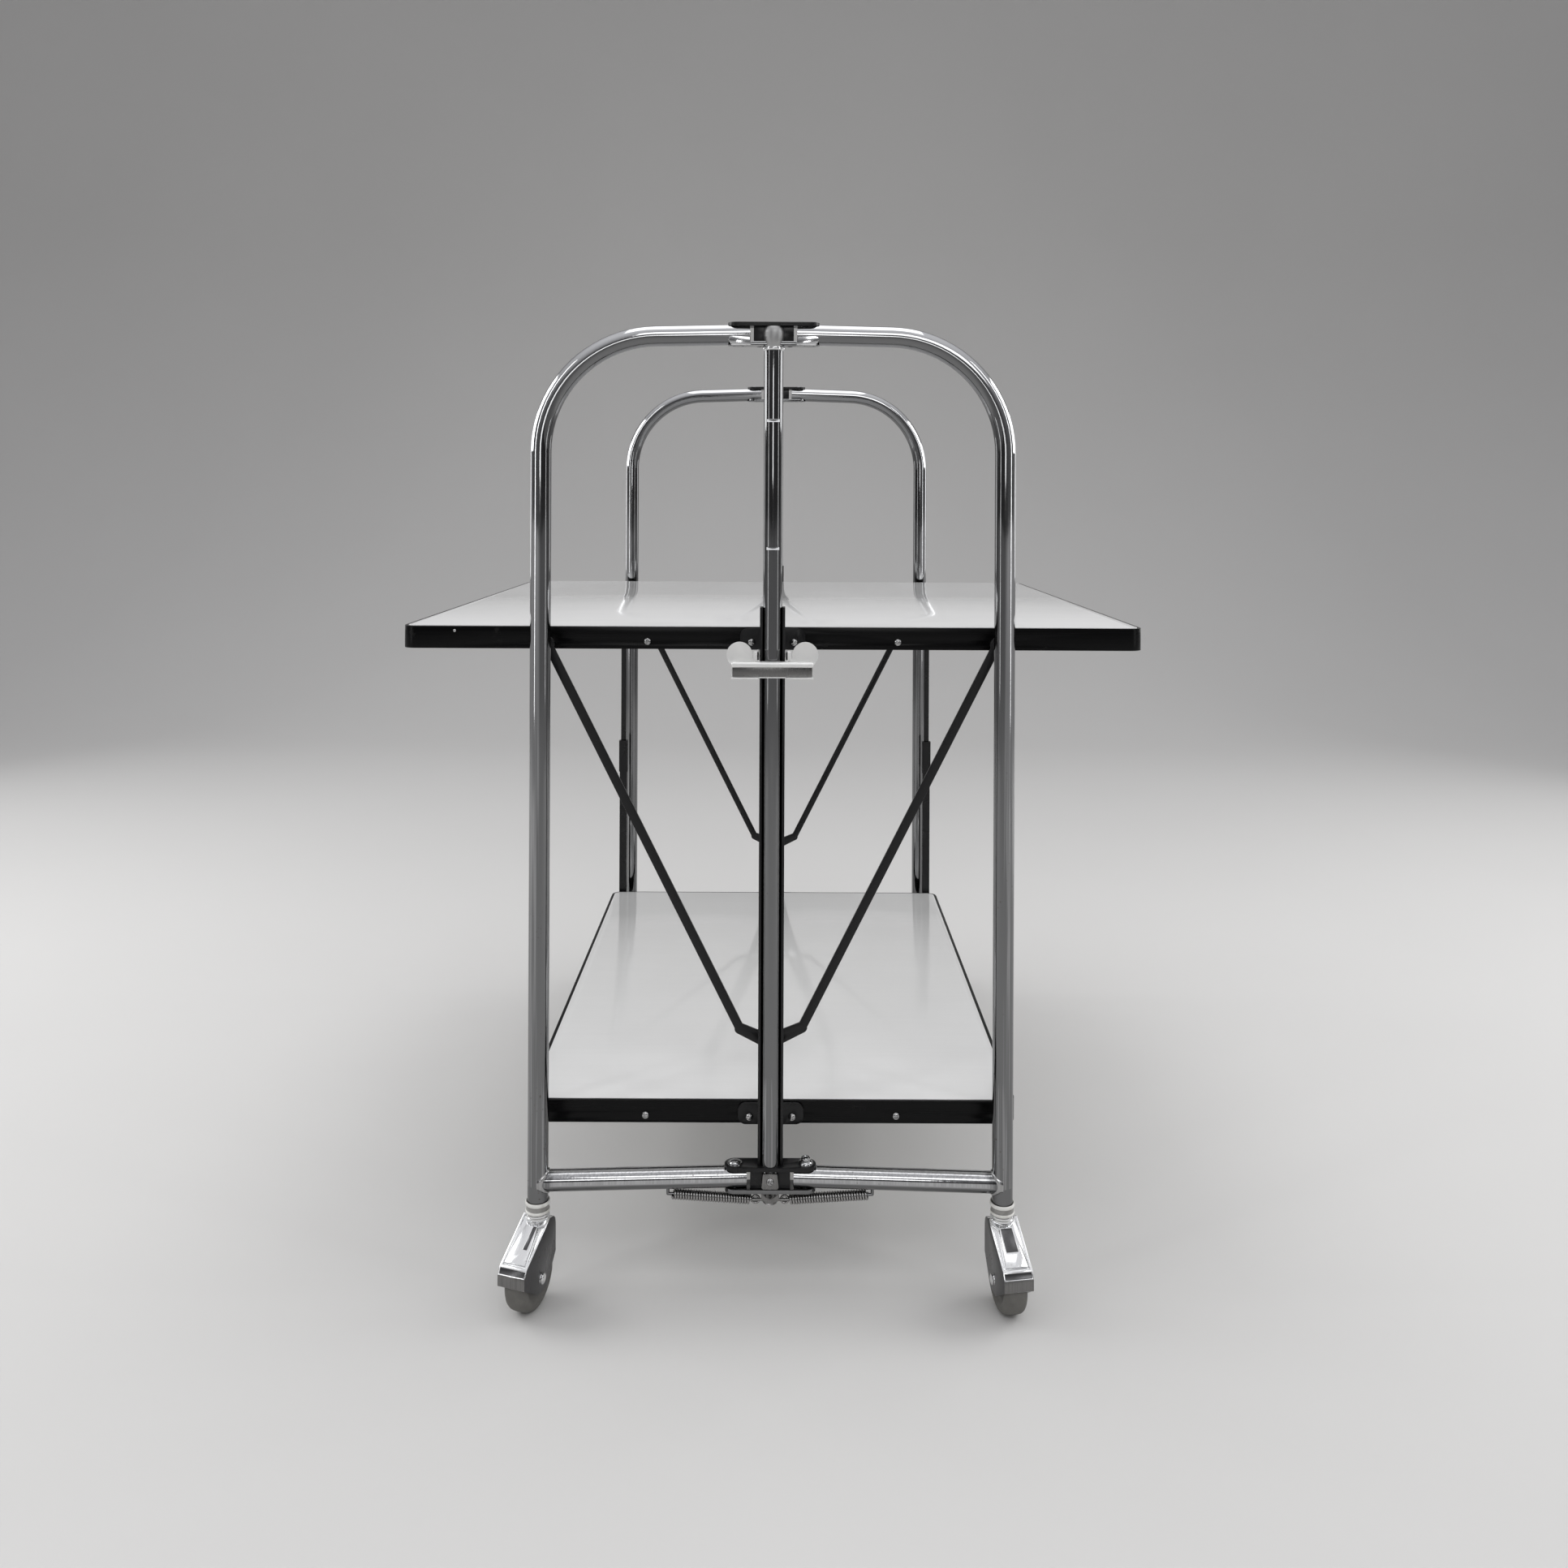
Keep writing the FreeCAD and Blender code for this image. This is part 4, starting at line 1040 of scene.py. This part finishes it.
def is_plain_head(centre, normal):
    for x, depth in screw_places:
        beside = abs(abs(centre.x) - x * MM) < HEAD_REACH
        if beside and abs(centre.y) > END_Y - (depth + HEAD_SLACK) * MM:
            return True
    return False


for leaf, angles in slot_angles.items():
    shanks = merged_copy(leaf + "_fasteners", "shanks")
    select_faces(shanks, is_plain_head)
    bpy.ops.mesh.delete(type="FACE")
    close_ends()
    rise = joint_place[leaf + ("_drop" if "upper" in leaf else "_fold")][2]
    outward = -1 if "left" in leaf else 1
    pieces = [shanks]
    for (x, depth), degrees in zip(screw_places, angles):
        spots = []
        for end, place in end_places.items():
            across = outward * x * MM * (1 if end == "front" else -1)
            spots.append(place @ Matrix.Translation((across, depth * MM, rise)))
        pieces += heads_at(dome_head([degrees]), spots)
    if leaf == "upper_left":
        pieces += heads_at(dome_head([]), [tack_place])
    fasteners = joined(pieces, leaf + "_dome_screws")
    dressed(fasteners, plated_steel, "steel", leaf + "_leaf", leaf + "_fasteners")
print("leaves with screws:", len(slot_angles))

# %% [markdown]
# ## Hinge pins, tab and clip at the foot of the post
# At the foot the left pin is a washer with a low dome and the right one a taller bolt, and on top of
# the arch the pins are flush. A small tab with a screw closes the foot of the post, and a bent saddle
# below the plate holds the bar on which both springs hook.

# %% Pins of the hinge plates
PIVOT_X = abs(joint_place["front_left_frame_swing"][0])
dome_pin = [
    (0.0, 102.4), (2.2, 102.25), (3.6, 101.7), (4.4, 100.9), (4.5, 100.8), (5.6, 100.75),
    (5.8, 100.4), (5.8, 100.0), (4.0, 100.0), (4.0, 80.0), (0.0, 80.0),
]
bolt_pin = [
    (0.0, 104.4), (1.9, 104.4), (2.2, 104.9), (2.8, 105.0), (3.5, 104.6), (3.7, 103.8), (3.5, 102.6),
    (4.4, 102.3), (5.2, 101.6), (5.7, 100.7), (5.8, 100.0), (4.0, 100.0), (4.0, 80.0), (0.0, 80.0),
]
flush_pin = [
    (0.0, 753.6), (4.6, 753.55), (5.3, 753.3), (5.5, 753.0), (4.0, 753.0), (4.0, 735.0), (0.0, 735.0),
]
pins_of_side = {-PIVOT_X: (dome_pin, flush_pin), PIVOT_X: (bolt_pin, flush_pin)}
pins = []
for end_y in (-END_Y, END_Y):
    for x, profiles in pins_of_side.items():
        for profile in profiles:
            points = [(x + radius * MM, end_y, z * MM) for radius, z in profile]
            pins.append(turned("pin", points, (x, end_y, 0), UP, 36))
print("pins:", len(pins))
dressed(joined(pins, "turned_pivot_pins"), chrome, "steel", "stand", "frame_pivot_pins")

# %% Tabs with their screws
TAB_FRONT = -9.0
tab_screw_place = Matrix.Translation((0, -8.9 * MM, 90.0 * MM))
tab_outline = [(-5.6, 96.0), (-6.7, 85.4), (-5.6, 84.0), (5.6, 84.0), (6.7, 85.4), (5.6, 96.0)]
tab = rounded(stamped("tab", at_depth(tab_outline, TAB_FRONT), (0, 1.6 * MM, 0)), 0.4 * MM)
tab.data.materials.append(dull_steel_with_painted_shade)
tab_screws = heads_at(dome_head([25, 115]), [tab_screw_place])
tab_screws[0].data.materials.append(plated_steel)
tabs = at_both_ends(joined([tab] + tab_screws, "foot_tab"))
print("tabs:", len(tabs))
dressed(joined(tabs, "post_foot_tabs"), None, "steel", "stand", "post_tabs_and_screws")

# %% Saddle clip of the springs
SADDLE_HALF_WIDTH = 6.9
SADDLE_DEPTH = 6.4
SADDLE_MIDDLE_Z = 76.6
SADDLE_FRONT = -6.0
HOOK_BAR_PLACE = (0, 0, 71.8 * MM)
saddle_outline = [(-SADDLE_HALF_WIDTH, 80.0)]
for degrees in range(180, 361, 15):
    angle = math.radians(degrees)
    x = SADDLE_HALF_WIDTH * math.cos(angle)
    saddle_outline.append((x, SADDLE_MIDDLE_Z + SADDLE_DEPTH * math.sin(angle)))
saddle_outline += [(SADDLE_HALF_WIDTH, 80.0), (3.4, 77.2), (0.0, 75.2), (-3.4, 77.2)]
saddle = stamped("saddle", at_depth(saddle_outline, SADDLE_FRONT), (0, 12.0 * MM, 0))
select_faces(saddle, lambda centre, normal: abs(normal.y) > FACING)
bpy.ops.mesh.inset(thickness=0.9 * MM, depth=-0.7 * MM, use_individual=True)
rounded(saddle, 0.3 * MM)
hook_bar = round_bar("hook_bar", HOOK_BAR_PLACE, (0, QUARTER_TURN, 0), 1.2 * MM, 42.0 * MM)
saddles = at_both_ends(joined([saddle, hook_bar], "clip"))
print("saddles:", len(saddles))
dressed(joined(saddles, "spring_saddles"), dull_steel_with_painted_shade, "steel", "stand", "spring_clips")

# %% [markdown]
# ## Head of the post and cups of the arch hinge
# Between the arch plates a dull barrel stands proud of the post, a ring sits under the lower plate,
# and the plate's ends are turned up into cups in front of the tubes. Two bright ramps lie in the
# free slots of the post, where the latch has worn the lower lip.

# %% Barrel and ring
BARREL_Y = -3.2
barrel_profile = [
    (0.0, 733.0), (5.2, 733.2), (6.8, 735.0), (7.9, 738.0), (8.4, 741.5),
    (8.4, 745.0), (7.8, 747.8), (6.4, 749.7), (0.0, 749.9),
]
ring_profile = [
    (7.5, 731.3), (8.5, 731.7), (9.0, 732.8), (8.8, 734.2), (8.1, 735.0), (7.5, 735.0), (7.5, 731.3),
]
barrel = turned("barrel", at_depth(barrel_profile, BARREL_Y), (0, BARREL_Y * MM, 0), UP, 40)
barrel.data.materials.append(satin_steel)
bright_trim = [turned("ring", at_depth(ring_profile, 0), ORIGIN, UP, 40)]
print("barrel faces:", len(barrel.data.polygons))

# %% Cups and slot ramps
CUP_FRONT = -9.7
CUP_FLOOR = (17.5, 33.0)
RAMP_HALF_WIDTH = 4.9
RAMP_HEIGHTS = (578.1, 676.9)
cup_outline = [
    (17.5, 735.0), (30.0, 735.0), (33.6, 736.4), (35.0, 739.0), (34.4, 741.2), (32.0, 742.0),
    (18.5, 741.2),
]
for side in (-1, 1):
    points = at_depth([(side * x, z) for x, z in cup_outline], CUP_FRONT)
    bright_trim.append(rounded(stamped("cup", points, (0, 1.0 * MM, 0)), 0.4 * MM))
    low_x, high_x = sorted(side * x for x in CUP_FLOOR)
    bright_trim.append(rounded_box("cup_floor", (low_x, -9.4, 735.0), (high_x, -7.0, 737.4), 0.4))
for z in RAMP_HEIGHTS:
    ramp_outline = [(-7.4, z - 1.2), (-6.0, z - 1.2), (-6.0, z + 0.9)]
    points = [(-RAMP_HALF_WIDTH * MM, y * MM, rise * MM) for y, rise in ramp_outline]
    bright_trim.append(stamped("slot_ramp", points, (2 * RAMP_HALF_WIDTH * MM, 0, 0)))
for piece in bright_trim:
    piece.data.materials.append(bright_pressing)
print("bright trim at each end:", len(bright_trim))
trims = at_both_ends(joined([barrel] + bright_trim, "trim"))
dressed(joined(trims, "arch_hinge_trim"), None, "steel", "stand")

# %% [markdown]
# ## Weld beads
# Each bottom strut is brazed into its leg, and a small bead of metal runs along the saddle curve
# where the two tubes meet. The space that lies close to both tubes at once has just that shape, so
# the bead is the common part of two bars that are a little thicker than the tubes, with its edges
# rounded. Most of it is hidden inside the tubes, and only the rim shows.

# %% Beads between strut and leg
LEG_X = 179.3 * MM
STRUT_Z = 90.0 * MM
BEAD_RADIUS = 9.1 * MM
STRUT_END_X = LEG_X - 11 * MM
bead = round_bar("bead", (STRUT_END_X, 0, STRUT_Z), (0, QUARTER_TURN, 0), BEAD_RADIUS, 22 * MM)
leg_bar = round_bar("leg_bar", (LEG_X, 0, STRUT_Z), ORIGIN, BEAD_RADIUS, 40 * MM)
combined(bead, leg_bar, "INTERSECT")
close_ends()
rounded(bead, 0.5 * MM, 3)
for corner in corners:
    weld = copied(bead, corner + "_weld_bead", frame_place(corner))
    dressed(weld, plated_steel, "chrome", corner + "_half_frame")
discard(bead)
print("weld beads:", len(corners))

# %% [markdown]
# ## Latch handles
# The latch is a nickel plated pressing that is squeezed with two fingers: two round ears with a
# rolled rim, a bar between them with a thick rolled top edge, a thin lower lip that stops short of
# the channel, and two arms to the pins. The plate is one outline, stamped, with its face inset so
# that the rim stands proud. The lips are boxes that are rounded and joined to it, and the sunk face
# between them gets a darker steel than the rest: painted shade.

# %% Plate with ears
EAR_X = 25.3
EAR_Z = 496.4
EAR_RADIUS = 10.0
EAR_STEPS = 17
PLATE_FRONT = -11.2
right_half = [(31.5, 478.4), (31.5, 488.5)]
for step in range(EAR_STEPS):
    angle = math.radians(-42 + 14.6 * step)
    x = EAR_X + EAR_RADIUS * math.cos(angle)
    right_half.append((x, EAR_Z + EAR_RADIUS * math.sin(angle)))
right_half += [(13.5, 491.3), (8.0, 491.3)]
latch_outline = right_half + [(-x, z) for x, z in reversed(right_half)]


def latch_plate():
    plate = stamped("latch_plate", at_depth(latch_outline, PLATE_FRONT), (0, 1.2 * MM, 0))
    select_faces(plate, lambda centre, normal: normal.y < -FACING)
    bpy.ops.mesh.inset(thickness=1.1 * MM, depth=-0.5 * MM)
    return rounded(plate, 0.25 * MM)


# %% Lips and arms
LIP_FRONT = -17.2
LIP_BACK = -10.8


def side_box(name, side, reach, depth, heights, width):
    low_x, high_x = sorted(side * x for x in reach)
    return rounded_box(name, (low_x, depth[0], heights[0]), (high_x, depth[1], heights[1]), width)


def latch_handle():
    sunk_face = rounded_box("sunk_face", (-30.6, -11.5, 479.5), (30.6, -10.9, 487.4), 0.1)
    # The sunk face is coloured darker: painted shade between the lips.
    sunk_face.data.materials.append(dull_steel_with_painted_shade)
    rolled_low = (-31.5, LIP_FRONT, 487.2)
    rolled_high = (31.5, LIP_BACK, 491.3)
    pieces = [latch_plate(), rounded_box("rolled_edge", rolled_low, rolled_high, 1.6)]
    lip_depth = (LIP_FRONT, LIP_BACK)
    for side in (-1, 1):
        pieces.append(side_box("lower_lip", side, (10.5, 31.5), lip_depth, (478.4, 479.6), 0.45))
        pieces.append(side_box("arm", side, (10.1, 12.1), (PLATE_FRONT, 2.0), (491.0, 499.0), 0.4))
        pieces.append(side_box("lug", side, (10.1, 14.6), (PLATE_FRONT, -9.8), (492.0, 499.0), 0.4))
    for piece in pieces:
        piece.data.materials.append(nickel)
    return joined(pieces + [sunk_face], "latch")


latch = latch_handle()
for end, place in end_places.items():
    handle = copied(latch, end + "_squeeze_latch", place)
    dressed(handle, None, "steel", end + "_latch_handle", end + "_latch")
print("latch faces:", len(latch.data.polygons))
discard(latch)

# %% [markdown]
# ## Floor and backdrop
# A pale sweep of paper serves as floor and backdrop in one: a plane whose far edge is pulled up,
# with the corner rounded by a bevel so that no line shows.

# %% Paper sweep
SWEEP_MIDDLE = (0, -8, 0)
SWEEP_SIZE = (60.0, 23.0, 1.0)
WALL_HEIGHT = 4.0
CORNER_RADIUS = 1.6
deselect_everything()
bpy.ops.mesh.primitive_plane_add(size=1, location=SWEEP_MIDDLE)
sweep = bpy.context.object
sweep.name = "paper_sweep"
settle()
edit_mode()
bpy.ops.transform.resize(value=SWEEP_SIZE, center_override=SWEEP_MIDDLE)
select_points(sweep, lambda point: point.y > 0)
bpy.ops.mesh.select_mode(type="EDGE")
push((0, 0, WALL_HEIGHT))
select_points(sweep, lambda point: point.y > 0 and abs(point.z) < MM)
bpy.ops.mesh.select_mode(type="EDGE")
bpy.ops.mesh.bevel(offset=CORNER_RADIUS, segments=24)
object_mode()
bpy.ops.object.shade_smooth()

paper, paper_tree, paper_shader, paper_place = new_finish("pale_paper")
paper_shader.inputs["Roughness"].default_value = 0.9
paper_shader.inputs["Specular IOR Level"].default_value = 0.1
paper_tone = noise(paper_tree, paper_place, 1.5, 2.0)
paper_colour = blend_colours(paper_tree, paper_tone, (0.62, 0.615, 0.605), (0.65, 0.645, 0.635))
paper_tree.links.new(paper_colour, paper_shader.inputs["Base Color"])
sweep.data.materials.append(paper)
print("sweep faces:", len(sweep.data.polygons))

# %% [markdown]
# ## Sky and lamps
# Chrome needs something to mirror, so the sky is a soft gradient that is bright overhead and darker
# at the height of the lens. Broad softboxes above and beside the trolley light the trays evenly, and
# narrow strips draw the long bright lines along the tubes.

# %% Sky
sky_stops = (
    (0.46, (0.05, 0.05, 0.05, 1)),
    (0.62, (0.14, 0.14, 0.145, 1)),
    (0.95, (0.75, 0.75, 0.77, 1)),
)
world = bpy.data.worlds.new("studio_sky")
bpy.context.scene.world = world
world.use_nodes = True
sky_tree = world.node_tree
sky = sky_tree.nodes["Background"]
direction = sky_tree.nodes.new("ShaderNodeTexCoord").outputs["Generated"]
split = sky_tree.nodes.new("ShaderNodeSeparateXYZ")
sky_tree.links.new(direction, split.inputs["Vector"])
ramp = sky_tree.nodes.new("ShaderNodeValToRGB")
sky_tree.links.new(remap(sky_tree, split.outputs["Z"], -1.0, 1.0, 0.0, 1.0), ramp.inputs["Fac"])
tones = ramp.color_ramp.elements
tones.new(sky_stops[1][0])
for tone, (position, colour) in zip(tones, sky_stops):
    tone.position = position
    tone.color = colour
sky_tree.links.new(ramp.outputs["Color"], sky.inputs["Color"])
sky.inputs["Strength"].default_value = 1.0
print("sky with", len(tones), "tones")

# %% Lamps
def softbox(name, place, target, width, height, power):
    bpy.ops.object.light_add(type="AREA", location=place)
    lamp = bpy.context.object
    lamp.name = name
    lamp.data.shape = "RECTANGLE"
    lamp.data.size = width
    lamp.data.size_y = height
    lamp.data.energy = power
    aim = Vector(target) - Vector(place)
    lamp.rotation_euler = aim.to_track_quat("-Z", "Y").to_euler()
    lamp.visible_camera = False


lamps = (
    ("overhead", (0, 0.1, 2.3), (0, 0, 0.4), 1.2, 1.7, 8),
    ("left_side", (-1.7, 0.1, 1.2), (0, 0, 0.15), 1.1, 1.0, 14),
    ("right_side", (1.7, 0.1, 1.2), (0, 0, 0.15), 1.1, 1.0, 12.5),
    ("left_strip", (-1.4, -1.2, 1.0), (0, -0.3, 0.45), 0.16, 1.8, 3),
    ("right_strip", (1.4, -1.0, 1.0), (0, -0.3, 0.45), 0.14, 1.8, 2.4),
    ("rear_left_strip", (-2.0, 1.3, 0.85), (0, -0.2, 0.65), 0.35, 0.9, 3),
    ("rear_right_strip", (2.0, 1.3, 0.85), (0, -0.2, 0.65), 0.35, 0.9, 3),
    ("front_fill", (0.5, -2.4, 1.9), (0, 0, 0.3), 1.6, 0.8, 8),
    ("low_front", (-0.1, -2.6, 0.8), (0, -0.3, 0.5), 0.5, 0.3, 1.7),
)
for settings in lamps:
    softbox(*settings)
print("lamps:", len(lamps))
